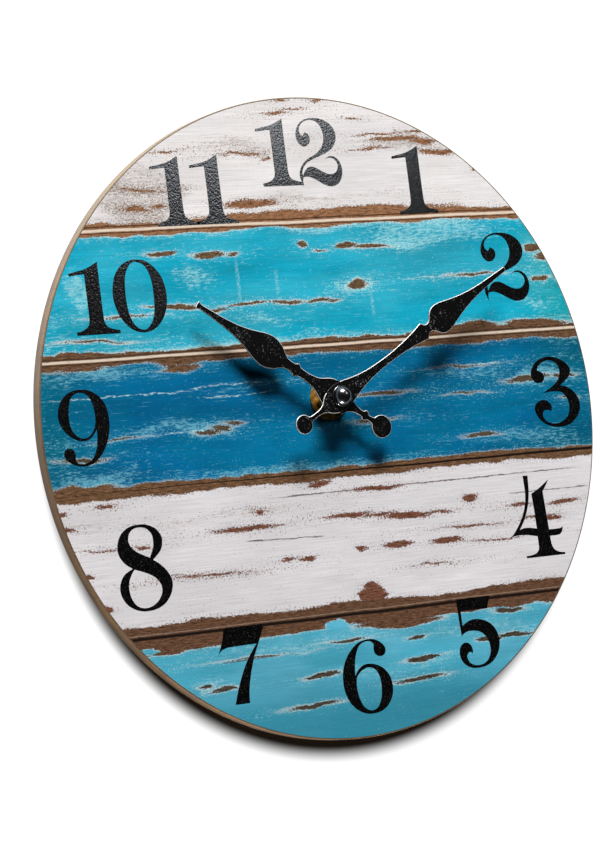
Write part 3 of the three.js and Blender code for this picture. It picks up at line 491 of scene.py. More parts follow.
# Each chip is its middle, then half its length and half its height.
CHIPS = (
    # top white plank
    (-25, 85.2, 12, 1.7), (-76, 85.3, 6, 1.0), (-66, 86.2, 3, 0.7),
    (-27, 104.3, 9, 0.6), (-14.5, 102.6, 1.8, 0.6), (-8, 120.6, 6, 0.5), (0, 121.9, 5, 0.4),
    (27, 118.0, 3.2, 0.4), (47, 109.3, 13, 1.0), (60, 108.0, 6, 1.3), (66, 103.7, 9, 1.2),
    (38, 111.6, 10, 0.5), (34, 105.6, 8, 0.5), (55, 112.4, 6, 0.5), (-6, 125.8, 3, 0.5),
    (11, 125.4, 3, 0.6), (83, 95.8, 1, 0.7), (-60, 107.4, 5, 0.4), (-74, 92.3, 9, 0.5),
    # turquoise plank
    (-66, 67.2, 7, 1.1), (-46.5, 65.7, 6.5, 1.3), (-35.5, 65.2, 2.8, 0.6), (-3.5, 68.4, 2.2, 1.5),
    (17, 66.8, 5.5, 1.1), (29, 66.0, 8, 0.9), (5, 65.4, 2, 0.4), (20, 51.2, 4.8, 1.6),
    (-61, 46.4, 8, 1.1), (-45, 45.2, 4, 0.6), (-31, 46.6, 9, 0.7), (-14, 46.8, 8, 0.6),
    (1, 46.6, 5, 0.8), (7, 45.5, 3, 0.6), (-74, 46.8, 3, 0.4), (-86, 43.8, 9, 0.4),
    (-100, 34.6, 12, 0.5), (76, 52.4, 10, 0.5), (107, 62.0, 4, 1.6), (112, 58.0, 4, 1.4),
    (110, 49.5, 4, 1.1),
    # deep blue plank
    (-50, -1.2, 5, 1.2), (-56, -2.6, 5, 0.7), (-44, 0.8, 4, 0.6), (-111, -8.8, 9, 0.7), (25, 7.0, 12, 0.8),
    (20, -3.6, 9, 0.7), (70, -12.2, 8, 1.0), (97, 8.0, 11, 1.2), (115, 8.2, 5, 0.9),
    (117, -1.0, 4, 0.7), (64, 15.8, 9, 0.4), (-94, -2.6, 7, 0.4), (66, 4.2, 6, 0.4),
    # lower white plank
    (-44, -41.3, 15, 1.0), (-37, -35.7, 1.8, 0.8), (-104, -27.2, 4, 0.7), (18, -29.8, 11, 1.0),
    (-8, -26.0, 5, 1.5), (-90, -43.6, 3, 0.6), (-106, -43.7, 8, 0.3), (61, -38.0, 3.6, 1.6),
    (3, -40.0, 11, 0.9), (17, -41.0, 8, 0.6), (30, -42.0, 12, 1.2), (45, -42.0, 6, 0.6),
    (85, -42.4, 6, 0.7), (107, -43.0, 8, 1.1),
    (60, -48.6, 12, 0.5), (94, -48.0, 8, 0.6), (100, -49.2, 4, 1.0), (25, -53.0, 7, 1.1),
    (48, -54.0, 8, 1.2), (-17, -54.6, 4, 1.0), (-26, -53.8, 4, 0.6), (7, -53.2, 2.4, 0.9),
    (70, -55.0, 10, 0.4), (-62, -56.8, 14, 0.5), (40, -62.4, 7, 0.4), (-120.5, -35.5, 3.4, 1.0),
    (-122.0, -29.0, 2.0, 1.1), (-115.0, -53.0, 2.6, 1.0), (-108.3, -66.0, 2.6, 1.3),
    (9.5, -72.0, 6.4, 3.4), (9.5, -68.4, 3.6, 1.6),
    # light turquoise plank
    (-70, -99.3, 3, 0.7), (-61, -101.4, 6, 0.8), (-5, -89.0, 8, 0.6), (28, -90.4, 4, 0.8),
    (-18, -101.0, 7.5, 1.0), (30, -99.2, 9, 1.1), (27, -107.3, 12, 0.9), (-23, -112.0, 11, 0.8),
    (62, -95.0, 6, 1.2), (75, -94.3, 8, 1.0), (73, -84.2, 7, 1.0), (-45, -90.8, 12, 0.3),
)
# Bites out of the planks' edges.
BITES = ((72, 30.4, 13, 2.4), (104, 30.8, 15, 1.8), (-108, 24.6, 10, 0.7), (-66, 23.6, 9, 1.5),
         (-112, -19.6, 14, 1.5), (10, 80.4, 60, 1.9), (-30, 80.5, 14, 1.6), (-80, -83.4, 30, 1.3),
         (20, -84.0, 20, 1.7))
# Patches where the paint is rubbed thin.
WORN = (
    (-74, 92, 24, 12), (48, 108, 20, 4), (-25, 107, 20, 4), (20, 86, 60, 2),
    (-105, 56, 5, 9), (62, 71, 34, 5), (104, 40, 10, 3), (-35, 32, 50, 2), (12, 75, 60, 1.5),
    (18, 51, 12, 3), (-54, 56, 10, 4), (-24, 41, 14, 2.5), (46, 70, 18, 5),
    (-96, 21, 22, 3), (-30, 13, 34, 2), (-66, -1, 26, 3), (72, 13, 20, 2.5),
    (104, 8, 16, 4), (95, -14, 22, 2.5), (-102, -15, 18, 4), (-20, -17, 60, 2),
    (-60, -35, 60, 3), (-70, -57, 30, 2),
    (-68, -99, 9, 3), (-30, -88, 60, 2), (62, -90, 40, 3), (20, -103, 40, 2),
)
# Tongues of paint that reach into the bare edges.
TONGUES = ((-8.5, -83.4, 5.5, 3.6), (-93, -82.6, 4, 1.7), (86, -84.5, 9, 2.2), (-82, 24.0, 11, 2.0))
# Thin pale scrapes in the paint, and dark cracks: a middle, half a length and a slope.
SCRAPES = ((-92, 13.8, 33, -0.005), (-46, 15.2, 17, 0.035), (-40, 10.8, 17, 0.02), (-84, 44.4, 20, 0.0),
           (60, 52.6, 20, 0.01), (75, 15.6, 16, 0.02), (-62, -1.8, 22, 0.03))
CRACKS = ((42, -29.9, 78, 0.004), (100, -37.6, 21, 0.0), (-27, -46.4, 19, -0.03), (-50, -91.0, 12, 0.02))
# Upright sweeps of the brush: a middle and half a length.
SWEEPS = ((-34.4, 54, 13), (-17, 54, 6), (26, 43, 6))

# Colours of the five planks, lowest first: two of paint, then bare wood, brush marks and dots.
PLANK_PAINT = (paint(92, 178, 202), paint(224, 220, 222), paint(0, 100, 145), paint(18, 163, 191),
               paint(234, 230, 229))
PLANK_TINT = (paint(66, 164, 188), paint(217, 213, 214), paint(2, 109, 145), paint(48, 171, 195),
              paint(225, 220, 218))
PLANK_BARE = (paint(70, 61, 51), paint(112, 72, 56), paint(84, 71, 56), paint(100, 78, 56),
              paint(134, 94, 66))
# Wood along the seams, lowest seam first, and the heights at which one wood gives way to the next.
SEAM_WOOD = (paint(98, 69, 51), paint(106, 77, 54), paint(103, 75, 54), paint(142, 101, 71))
SEAM_BOUNDS = (-200.0, -50.0, 2.0, 52.0)
PLANK_BRUSH = (paint(160, 210, 218), paint(168, 150, 138), paint(112, 184, 204), paint(150, 215, 223),
               paint(150, 130, 114))
PLANK_DOTS = (paint(186, 222, 226), paint(112, 84, 68), paint(160, 210, 222), paint(206, 234, 236),
              paint(122, 98, 82))
LOW_SHADE = paint(42, 126, 148)
GREEN_CAST = (1.0, 0.86, 0.68, 1.0)
PRIMER = paint(204, 216, 214)
SWEEP_WHITE = paint(164, 220, 226)
SCRAPE_WHITE = paint(186, 220, 226)
CRACK_BROWN = paint(84, 66, 56)
PORE_BROWN = paint(52, 38, 29)
FIBRE_PALE = paint(178, 150, 126)
GROOVE_PALE = paint(230, 212, 192)
GROOVE_DARK = paint(28, 20, 16)
print(len(CHIPS), "chips,", len(SEAMS), "seams")

# %% [markdown]
# The same height is used for every colour that changes from plank to plank, so one small function turns
# five colours into a stepped ramp. Noise drawn out along x gives the grain, and three noises that push the
# place about, slow, middling and fine, make the edges of the paint ragged without drawing each tooth.

# %% The print
def dial_print():
    finish = Finish("weathered_print", Specular_IOR_Level=0.06)
    place = finish.place()
    slow = finish.noise(place * (0.030, 0.0, 0.035), 2.0, 0.5, 1) - (0.5, 0.5, 0.5)
    middling = finish.noise(place * (0.13, 0.0, 0.30), 2.0, 0.5, 1) - (0.5, 0.5, 0.5)
    fine = finish.noise(place * (0.45, 0.0, 1.3), 4.0, 0.65, 1) - (0.5, 0.5, 0.5)
    frayed = place + slow * (4.0, 0.0, 5.5) + middling * (7.0, 0.0, 2.2) + fine * (4.0, 0.0, 1.1)
    straight = place.part("Z") + slow.part("Y") * 1.2
    across = place.part("X")

    def by_plank(colours, bounds=(-200.0, *reversed(SEAMS))):
        stops = [(max(0.0, (z + 130) / 260), colour) for z, colour in zip(bounds, colours)]
        up = (straight + 130) * (1 / 260)
        return finish.node("ShaderNodeValToRGB", {"stops": stops, "blend": "CONSTANT"}, {0: up})

    def amount(*shares):
        colours = [(share, share, share, 1.0) for share in shares]
        return finish.node("ShaderNodeRGBToBW", {}, {0: by_plank(colours)})

    def nearest(shapes, where):
        gap = None
        for x, z, long, high in shapes:
            offset = where * (1 / long, 0.0, 1 / high) - (x / long, 0.0, z / high)
            this = (offset.length() - 1) * high
            gap = this if gap is None else gap.least(this)
        return gap

    # Distance to bare wood, below zero inside it.
    chip_gap = nearest(CHIPS, frayed)
    rise = frayed.part("Z")
    edge_gap = None
    for top, bottom in BARE_EDGES:
        this = abs(rise - (top + bottom) / 2) - (top - bottom) / 2
        edge_gap = this if edge_gap is None else edge_gap.least(this)
    edge_gap = edge_gap.least(nearest(BITES, frayed)).most(0 - nearest(TONGUES, frayed))
    gap = chip_gap.least(edge_gap)

    grain = finish.noise(place * (0.06, 0.0, 0.85), 5.0, 0.7)
    grit = finish.noise(place * (1.2, 0.0, 1.7), 3.0, 0.75)
    rub = finish.noise(place * (0.33, 0.0, 1.15), 5.0, 0.75)
    scratch = finish.noise(place * (0.09, 0.0, 1.9), 4.0, 0.7)

    # Paint, with slow changes of tone and a fine grain.
    tone = finish.noise(place * (0.012, 0.0, 0.07), 4.0, 0.6)
    mottle = (tone.ease(0.25, 0.75) - 0.5) * amount(0.36, 0.10, 0.48, 0.46, 0.20) + 1
    mottle = mottle * grit.stretch(0.88, 1.12)
    strokes = finish.noise(place * (0.05, 0.0, 2.2), 3.0, 0.6)
    cloud = finish.noise(place * (0.02, 0.0, 0.045), 3.0, 0.55)
    tint = (cloud + gap.ease(9, 1) * 0.08).ease(0.46, 0.64) * 0.75
    painted = finish.mix(tint, by_plank(PLANK_PAINT), by_plank(PLANK_TINT))
    painted = finish.mix(1.0, painted, mottle * strokes.stretch(0.70, 1.30), "MULTIPLY")
    painted = finish.mix(straight.ease(-93, -122) * amount(0.8, 0, 0, 0, 0), painted, LOW_SHADE)
    right_end = across.ease(88, 122) * amount(0, 0, 0.8, 0.8, 0)
    left_end = across.ease(-94, -122) * amount(0, 0, 0.7, 0, 0)
    greener = finish.mix(1.0, painted, GREEN_CAST, "MULTIPLY")
    painted = finish.mix(right_end.most(left_end), painted, greener)

    # Dry brush marks and scratches, thick where the paint is rubbed, at the rim and beside bare wood.
    worn = nearest(WORN, place + slow * (16.0, 0.0, 16.0)).ease(2.0, -3.0)
    thin = worn * 0.14 + abs(across).ease(90, 125) * 0.04 + gap.ease(5, 0) * 0.06
    thin = thin + amount(0, 0, 0.02, 0.03, 0)
    brushed = (rub + thin).ease(0.61, 0.76).most((scratch + thin * 0.7).ease(0.63, 0.72) * 0.8)
    brushed = brushed * amount(0.5, 0.4, 0.75, 0.82, 0.5)
    painted = finish.mix(brushed, painted, by_plank(PLANK_BRUSH))
    dot = finish.noise(place * (1.3, 0.0, 1.5) + (31.0, 0.0, 7.0), 2.0, 0.6)
    near = gap.ease(3.0, 0.2) * 0.09 + worn * 0.07 + (cloud - 0.5) * 0.16
    dots = (dot + near + amount(0, 0.02, 0, 0, 0.015)).ease(0.68, 0.74)
    painted = finish.mix(dots * amount(0.55, 0.85, 0.5, 0.7, 0.75), painted, by_plank(PLANK_DOTS))

    # A thin broken rim of primer beside the bare wood.
    primer = gap.ease(0.75, 0.0) * (grain + (grit - 0.5) * 0.8).ease(0.38, 0.54)
    painted = finish.mix(primer * amount(0.65, 0.0, 0.5, 0.85, 0.0), painted, PRIMER)

    # Pale scrapes and dark hair cracks.
    def lines(shapes, half, sway):
        found = None
        wavy = place.part("Z") + fine.part("Z") * 1.2 + middling.part("Z") * sway
        for x, z, long, slope in shapes:
            this = abs(wavy - across * slope - (z - x * slope)).ease(half, half * 0.4)
            this = this * abs(across - x).ease(long, long * 0.8)
            found = this if found is None else found.most(this)
        return found

    for x, z, long in SWEEPS:
        sweep = abs(across + fine.part("X") * 2 - x).ease(1.1, 0.2)
        sweep = sweep * abs(place.part("Z") - z).ease(long, long * 0.4)
        painted = finish.mix(sweep * grit.ease(0.40, 0.62) * 0.6, painted, SWEEP_WHITE)
    painted = finish.mix(lines(SCRAPES, 0.42, 3.0) * rub.ease(0.43, 0.58) * 0.85, painted, SCRAPE_WHITE)
    painted = finish.mix(lines(CRACKS, 0.34, 0.7) * grain.ease(0.30, 0.5) * 0.85, painted, CRACK_BROWN)

    # Bare wood, warmer along the plank edges, with fibres and dark pores.
    fibre = finish.noise(place * (0.30, 0.0, 1.8), 6.0, 0.75)
    seam_wood = by_plank(SEAM_WOOD, SEAM_BOUNDS)
    wood = finish.mix(edge_gap.ease(0.6, -0.4), by_plank(PLANK_BARE), seam_wood)
    streaks = fibre.ease(0.34, 0.66).stretch(0.4, 1.7) * grit.stretch(0.4, 1.6)
    wood = finish.mix(1.0, wood, streaks, "MULTIPLY")
    pores = finish.noise(place * (0.4, 0.0, 2.6), 3.0, 0.7)
    wood = finish.mix(pores.ease(0.58, 0.70) * 0.6, wood, PORE_BROWN)
    wood = finish.mix(grit.ease(0.64, 0.72) * 0.35, wood, FIBRE_PALE)
    bare = (gap + (grit - 0.5) * amount(1.4, 3.0, 2.4, 1.8, 3.2)).ease(0.14, -0.14)
    colour = finish.mix(bare, painted, wood)

    # Grooves between the planks.
    for z, half, growth, strength in PALE_GROOVES:
        line = (abs(straight - z) - across * growth).ease(half, half * 0.5) * fibre.ease(0.2, 0.5)
        colour = finish.mix(line * strength, colour, GROOVE_PALE)
    for z, half, growth, strength in DARK_GROOVES:
        line = (abs(straight - z) - across * growth).ease(half, half * 0.4) * fibre.ease(1.0, 0.6)
        colour = finish.mix(line * strength, colour, GROOVE_DARK)

    rough = grain.stretch(0.42, 0.58) + bare * 0.1
    height = finish.noise(place * (0.06, 0.0, 1.5), 4.0, 0.6) * 0.4 + (1 - bare) * 0.3
    return finish.feed(Base_Color=colour, Roughness=rough, Normal=finish.bump(height, 0.00005))


print_finish = dial_print()
print("the print has", len(print_finish.node_tree.nodes), "nodes")

# %% [markdown]
# ## The board itself
# Behind the print the board is pressed fibre: its cut edge is tan, with painted shade darker towards the
# wall and painted light paler at the top, and its back is brown and faintly furry. The edge is turned as a
# profile with a rounded front, a thin dark line runs where the print stops, and the two faces are filled
# discs with the hole for the stem, so the finishes meet exactly where the real ones do.

# %% Board
EDGE_ROUND = 0.4
EDGE_STEPS = 6
LINE_WIDTH = 0.2
BACK_CHAMFER = 0.4
RIM_STEPS = 256
STEM_HOLE = 4.1
HOLE_STEPS = 48
PAINTED_EDGE_SHADE = paint(52, 38, 26)
PAINTED_EDGE_LIGHT = paint(136, 120, 96)


def fibre_board(name, light, dark, speck, edge_shade=0.0, edge_light=0.0):
    finish = Finish(name)
    place = finish.place()
    depth = place.part("Y") - dial_y / MM
    cloud = finish.noise(place * (0.12, 0.12, 0.12), 4.0, 0.6)
    speckle = finish.noise(place * (1.6, 1.6, 1.6), 3.0, 0.65)
    threads = finish.noise(place * (0.5, 2.5, 0.9), 3.0, 0.7)
    colour = finish.mix(cloud.ease(0.3, 0.7), dark, light)
    colour = finish.mix(speckle.ease(0.58, 0.70) * 0.5, colour, speck)
    # Painted shade: the cut edge darkens towards the wall.
    colour = finish.mix(depth.ease(0.6, 4.2) * edge_shade, colour, PAINTED_EDGE_SHADE)
    # Painted light: the cut edge is paler towards the top.
    colour = finish.mix(place.part("Z").ease(55, 110) * edge_light, colour, PAINTED_EDGE_LIGHT)
    rough = cloud.stretch(0.5, 0.75)
    height = threads * 0.6 + speckle * 0.4
    return finish.feed(Base_Color=colour, Roughness=rough, Normal=finish.bump(height, 0.0001))


edge_finish = fibre_board("cut_edge", paint(134, 102, 64), paint(106, 79, 49), paint(78, 57, 36),
                          edge_shade=0.45, edge_light=0.9)
line_finish = fibre_board("edge_line", paint(92, 76, 62), paint(72, 58, 46), paint(54, 42, 32))
back_finish = fibre_board("board_back", paint(136, 104, 74), paint(112, 84, 58), paint(78, 56, 38))


def clock_board():
    rim = [(board_radius - BACK_CHAMFER, -board_back), (board_radius, -board_back + BACK_CHAMFER)]
    for step in range(EDGE_STEPS + 1):
        turn = step / EDGE_STEPS * math.pi / 2
        rim.append((board_radius - EDGE_ROUND * (1 - math.cos(turn)), EDGE_ROUND * (math.sin(turn) - 1)))
    border = (board_radius - EDGE_ROUND - LINE_WIDTH, 0)
    points, faces, picks = [], [], []

    def add(new_points, new_faces, pick):
        start = len(points)
        points.extend(new_points)
        faces.extend(tuple(start + i for i in face) for face in new_faces)
        picks.extend([pick] * len(new_faces))

    def band(profile, centre, steps, pick):
        loops = [circle(radius, centre, steps) for radius, height in profile]
        new = [spot(*p, height) for loop, (radius, height) in zip(loops, profile) for p in loop]
        quads = []
        for row in range(len(profile) - 1):
            for i in range(steps):
                j = (i + 1) % steps
                near, far = row * steps, (row + 1) * steps
                quads.append((near + i, near + j, far + j, far + i))
        add(new, quads, pick)

    band(rim, (0, 0), RIM_STEPS, 1)
    band([rim[-1], border], (0, 0), RIM_STEPS, 3)
    band([(STEM_HOLE, 0), (STEM_HOLE, -board_back)], spindle, HOLE_STEPS, 1)
    for height, radius, pick in ((0, border[0], 0), (-board_back, rim[0][0], 2)):
        hole = circle(STEM_HOLE, spindle, HOLE_STEPS)
        flat, triangles = fill([circle(radius, (0, 0), RIM_STEPS), hole])
        add([spot(*p, height) for p in flat], triangles, pick)
    finishes = [print_finish, edge_finish, back_finish, line_finish]
    return piece("painted_board", points, faces, finishes, picks)


board = clock_board()
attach(board, "clock_frame")
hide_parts("dial_board")
print("board has", len(board.data.polygons), "faces")

# %% [markdown]
# ## The numerals
# The numerals are upright, with thick stems, hair lines and ball ends, printed in black over the planks.
# They could be typed in a font, but the drawn ones have their own curls, so each is an outline drawn
# on a millimetre grid and lifted a few hundredths off the board, as thick ink is.

# %% Outlines of the numerals
ONE = (
    [(-3.5, 23.9), (0.0, 24.6), (3.0, 25.7), (6.1, 27.3)],
    [(6.15, 14.0), (6.3, 5.6)],
    [(6.7, 3.9), (7.8, 2.6), (9.8, 1.8), (12.7, 1.25)],
    [(12.8, 0.1)],
    [(-5.7, 0.1)],
    [(-5.8, 1.25)],
    [(-3.4, 1.7), (-1.5, 2.6), (-0.3, 3.9), (0.1, 5.6)],
    [(0.1, 14.0), (0.0, 22.9)],
    [(-3.2, 22.7), (-6.5, 22.4)],
    [(-6.7, 22.9), (-6.5, 23.4)],
)
TWO = (
    [(1.8, 112.4), (1.5, 114.0), (2.4, 115.9), (4.3, 117.3), (6.8, 117.8), (9.4, 117.2), (11.3, 115.4),
     (12.3, 112.8), (12.4, 110.2), (11.6, 107.6), (9.8, 105.3), (7.2, 103.6), (4.2, 102.2), (1.9, 100.6),
     (0.3, 98.6), (-0.5, 96.2), (-0.3, 94.2), (0.9, 91.4)],
    [(0.7, 93.3), (1.1, 94.9)],
    [(3.0, 95.1), (5.0, 94.6), (7.5, 93.4), (10.3, 91.8), (13.2, 90.9), (15.8, 91.3), (18.0, 92.9),
     (19.3, 95.6), (19.4, 98.4), (18.4, 101.0), (16.5, 102.6), (14.2, 102.9), (12.3, 102.1)],
    [(14.2, 102.4), (16.0, 101.9), (17.4, 100.3), (17.6, 98.4), (16.6, 96.7), (14.9, 95.8), (12.9, 95.8),
     (10.5, 96.7), (8.2, 98.0), (6.0, 98.9), (4.0, 98.8), (2.3, 97.6), (0.9, 95.5)],
    [(0.9, 97.2), (1.9, 99.2), (3.8, 100.8), (6.4, 102.0), (9.5, 103.1), (12.8, 104.4), (15.6, 106.0),
     (17.5, 108.2), (18.3, 110.6), (18.0, 113.0), (16.6, 115.3), (14.2, 117.1), (11.2, 118.2), (7.8, 118.5),
     (4.6, 118.0), (2.0, 116.5), (0.3, 114.2), (-0.3, 111.4), (0.3, 109.2), (1.6, 107.7), (3.2, 107.2),
     (4.9, 107.8), (6.0, 109.4), (6.0, 111.0), (5.2, 112.2), (3.9, 112.8)],
    [(3.5, 112.0), (2.9, 111.3)],
)
THREE = (
    [(107.0, 3.6), (109.6, 5.2), (111.8, 7.2), (112.8, 9.5), (112.6, 12.0), (111.3, 14.0), (109.3, 15.0),
     (106.8, 15.2), (104.0, 14.3), (102.1, 12.7), (101.7, 11.2)],
    [(103.2, 10.8), (104.6, 9.6), (104.8, 8.0), (103.6, 6.5), (101.4, 6.2), (99.4, 7.2), (98.4, 9.5),
     (99.0, 12.0), (101.5, 14.8), (105.0, 16.3), (109.0, 16.6), (113.0, 15.6), (116.5, 13.5), (118.2, 11.0),
     (117.6, 8.6), (115.2, 6.4), (112.2, 4.5)],
    [(115.0, 3.9), (118.0, 2.2), (120.3, -0.5), (121.1, -3.5), (120.6, -6.5), (118.5, -9.3), (115.0, -11.6),
     (110.5, -12.4), (106.0, -12.0), (102.0, -10.3), (99.3, -7.5), (98.2, -4.5), (99.2, -2.4), (101.2, -1.2),
     (103.6, -1.0), (105.6, -2.0), (106.7, -3.8), (106.5, -5.7)],
    [(105.2, -5.2), (103.2, -5.1), (102.0, -6.4), (102.1, -8.0), (103.5, -9.8), (106.0, -10.8),
     (109.0, -10.9), (112.0, -10.0), (114.5, -8.0), (115.6, -5.0), (115.4, -2.0), (114.0, 0.5),
     (112.0, 1.9), (109.0, 2.3), (106.0, 2.2), (103.2, 1.9)],
)
FOUR = (
    [(88.2, -36.0), (88.0, -40.0), (87.0, -44.0), (85.3, -47.8), (83.0, -51.0), (80.5, -54.0),
     (78.0, -56.0)],
    [(80.2, -55.2), (83.0, -54.9), (86.5, -55.1), (91.7, -56.0)],
    [(91.8, -60.6)],
    [(91.4, -61.8), (90.2, -62.9), (88.0, -63.5), (85.1, -63.7)],
    [(85.1, -64.5)],
    [(104.4, -64.5)],
    [(104.4, -63.8)],
    [(101.5, -63.3), (99.3, -62.1), (98.2, -59.8), (97.9, -56.4)],
    [(101.0, -56.4), (103.0, -56.1), (104.2, -55.0), (104.8, -53.2)],
    [(103.6, -53.7), (101.0, -53.9), (97.8, -53.8)],
    [(97.3, -45.0), (96.9, -38.0)],
    [(98.6, -36.1), (100.3, -33.6)],
    [(97.0, -35.7), (94.2, -37.3), (91.2, -38.7)],
    [(91.6, -45.0), (91.8, -53.0)],
    [(88.5, -52.4), (85.8, -52.3), (83.4, -52.8)],
    [(85.8, -49.5), (87.8, -45.8), (89.3, -41.5), (90.1, -37.0), (90.4, -31.1)],
    [(88.0, -31.1)],
)
FIVE = (
    [(48.5, -85.0), (48.9, -92.4)],
    [(50.5, -91.3), (53.0, -90.7), (56.0, -90.9), (58.8, -92.0), (61.0, -94.3), (62.0, -97.5),
     (61.6, -100.8), (60.0, -103.2), (57.5, -104.5), (54.5, -104.7), (52.0, -103.8), (50.6, -102.0),
     (50.5, -100.2), (51.4, -99.2), (52.4, -99.1), (53.1, -99.9)],
    [(53.4, -98.4), (52.8, -96.6), (51.5, -95.4), (49.8, -95.2), (48.0, -96.3), (47.0, -98.5),
     (47.2, -101.0), (48.6, -103.3), (51.0, -105.0), (54.5, -105.7), (58.5, -105.4), (62.3, -103.9),
     (65.3, -100.8), (66.7, -97.0), (66.4, -93.3), (64.5, -89.8), (61.5, -87.6), (58.0, -86.5),
     (55.0, -86.4), (52.3, -87.1), (49.9, -88.4)],
    [(49.8, -82.5)],
    [(62.6, -82.5)],
    [(64.6, -77.7)],
    [(48.3, -77.7)],
)
SIX = (
    [(-1.5, -100.6), (1.0, -98.9), (4.0, -98.5), (7.5, -99.3), (10.8, -101.3), (13.0, -104.5),
     (13.7, -108.0), (13.2, -111.5), (11.2, -114.8), (8.0, -117.1), (4.0, -117.9), (0.0, -117.5),
     (-3.8, -115.6), (-6.8, -112.3), (-8.5, -108.0), (-8.8, -103.5), (-8.0, -99.2), (-6.0, -95.2),
     (-3.0, -91.9), (0.5, -89.7), (5.0, -88.9), (8.5, -89.6), (11.0, -91.2), (12.3, -93.2), (12.0, -95.0),
     (10.5, -96.0), (8.6, -95.8), (7.2, -94.6), (6.9, -92.8), (7.2, -91.2)],
    [(6.3, -90.1), (4.5, -89.6), (2.0, -90.0), (0.0, -91.5), (-1.6, -94.5), (-2.6, -98.5), (-3.0, -102.6)],
)
SIX_EYE = ((-2.4, -103.6), (-2.8, -107.0), (-2.3, -111.0), (-0.8, -114.5), (1.5, -116.4), (4.0, -116.6),
           (6.3, -115.2), (7.9, -112.0), (8.5, -108.0), (8.3, -104.5), (7.2, -101.7), (5.4, -100.2),
           (3.0, -99.8), (0.6, -100.6), (-1.3, -102.0))
SEVEN = (
    [(-60.3, -82.0), (-62.7, -87.8)],
    [(-61.3, -86.3), (-59.4, -85.6), (-57.0, -85.3), (-45.5, -85.1)],
    [(-47.5, -87.4), (-50.3, -91.0), (-52.7, -95.0), (-54.8, -99.3), (-56.6, -103.6), (-57.9, -107.4)],
    [(-51.5, -107.4)],
    [(-51.3, -104.0), (-50.5, -99.8), (-49.1, -95.0), (-47.2, -90.0), (-44.7, -85.0), (-41.2, -78.0)],
    [(-59.3, -78.0)],
)
EIGHT = (
    [(-83.5, -50.8), (-81.0, -53.3), (-79.2, -56.5), (-79.0, -59.5), (-80.3, -62.8), (-83.0, -65.8),
     (-87.0, -67.6), (-91.5, -68.0), (-95.5, -67.2), (-99.0, -65.0), (-101.0, -62.0), (-101.6, -59.0),
     (-100.8, -56.0), (-98.8, -53.4), (-95.2, -51.6)],
    [(-97.8, -49.8), (-99.8, -47.5), (-100.8, -44.6), (-100.3, -41.2), (-98.5, -38.2), (-95.3, -36.0),
     (-91.0, -35.2), (-87.0, -35.6), (-83.6, -37.4), (-81.5, -40.2), (-81.4, -43.0), (-82.6, -45.8),
     (-86.2, -49.0)],
)
EIGHT_UPPER_EYE = (
    [(-90.0, -46.9), (-93.0, -45.3), (-95.0, -43.3), (-95.8, -41.0), (-95.2, -38.5), (-93.5, -36.8),
     (-91.0, -36.2), (-88.0, -36.7), (-85.9, -38.6), (-85.2, -41.0), (-85.6, -44.5), (-87.4, -48.1)],
)
EIGHT_LOWER_EYE = (
    [(-96.2, -54.0), (-97.5, -57.0), (-97.7, -60.0), (-97.0, -63.0), (-95.2, -65.6), (-92.5, -66.8),
     (-89.0, -66.5), (-86.0, -64.8), (-84.0, -62.0), (-83.7, -59.5), (-84.8, -57.0), (-87.0, -55.0),
     (-90.5, -53.3), (-94.5, -51.9)],
)
NINE = (
    [(-105.2, 0.0), (-107.6, -1.6), (-110.5, -1.9), (-113.6, -0.8), (-116.8, 1.8), (-118.8, 5.2),
     (-119.2, 8.6), (-118.2, 12.0), (-115.8, 15.2), (-112.5, 17.0), (-109.0, 17.5), (-105.0, 16.9),
     (-101.5, 14.8), (-98.8, 11.2), (-97.9, 6.5), (-98.2, 1.5), (-99.8, -3.2), (-102.5, -7.4),
     (-106.0, -10.3), (-110.0, -11.4), (-114.0, -10.8), (-117.0, -9.1), (-118.4, -7.0), (-118.0, -5.2),
     (-116.6, -4.4), (-114.8, -4.8), (-113.7, -6.3), (-113.9, -9.2)],
    [(-112.8, -10.2), (-110.8, -10.6), (-108.0, -9.8), (-105.8, -7.8), (-104.3, -4.4), (-103.6, 0.0),
     (-103.6, 2.2)],
)
NINE_EYE = ((-109.2, 16.4), (-106.8, 15.8), (-105.0, 14.0), (-103.9, 10.5), (-103.6, 6.5), (-104.3, 3.0),
            (-106.0, 0.4), (-108.5, -0.9), (-110.8, -0.7), (-113.0, 0.9), (-114.4, 3.6), (-114.7, 7.5),
            (-114.2, 11.5), (-113.0, 14.5), (-111.2, 16.0))
ZERO = ((-78.5, 65.6), (-74.5, 64.9), (-70.8, 62.2), (-68.0, 58.0), (-66.8, 52.5), (-67.2, 47.5),
        (-69.2, 42.8), (-72.6, 39.3), (-76.8, 37.7), (-81.0, 38.0), (-84.8, 40.2), (-88.0, 44.2),
        (-89.8, 49.5), (-89.9, 54.5), (-88.5, 59.5), (-85.6, 63.3), (-82.0, 65.2))
ZERO_EYE = ((-78.2, 64.7), (-75.3, 63.4), (-73.4, 60.0), (-72.5, 55.5), (-72.5, 50.0), (-73.0, 45.0),
            (-74.5, 41.2), (-77.0, 38.8), (-79.5, 38.8), (-82.0, 40.6), (-83.8, 44.5), (-84.5, 50.0),
            (-84.4, 55.5), (-83.6, 60.2), (-81.6, 63.6), (-79.8, 64.7))

ONE_TALL = 27.3
TWO_CORNER = (-0.5, 118.5)
SIDE_TWO_CORNER = (80.9, 69.0)
SIDE_TWO_SIZE = (1.115, 1.03)


def moved(loop, corner, to, size):
    """A loop scaled about one corner and moved so that the corner is somewhere else."""
    return [Vector((to[0] + (p.x - corner[0]) * size[0], to[1] + (p.y - corner[1]) * size[1])) for p in loop]


def one_at(x, z, tall):
    return [moved(outline(*ONE), (0, 0), (x, z), (1.0, tall / ONE_TALL))]


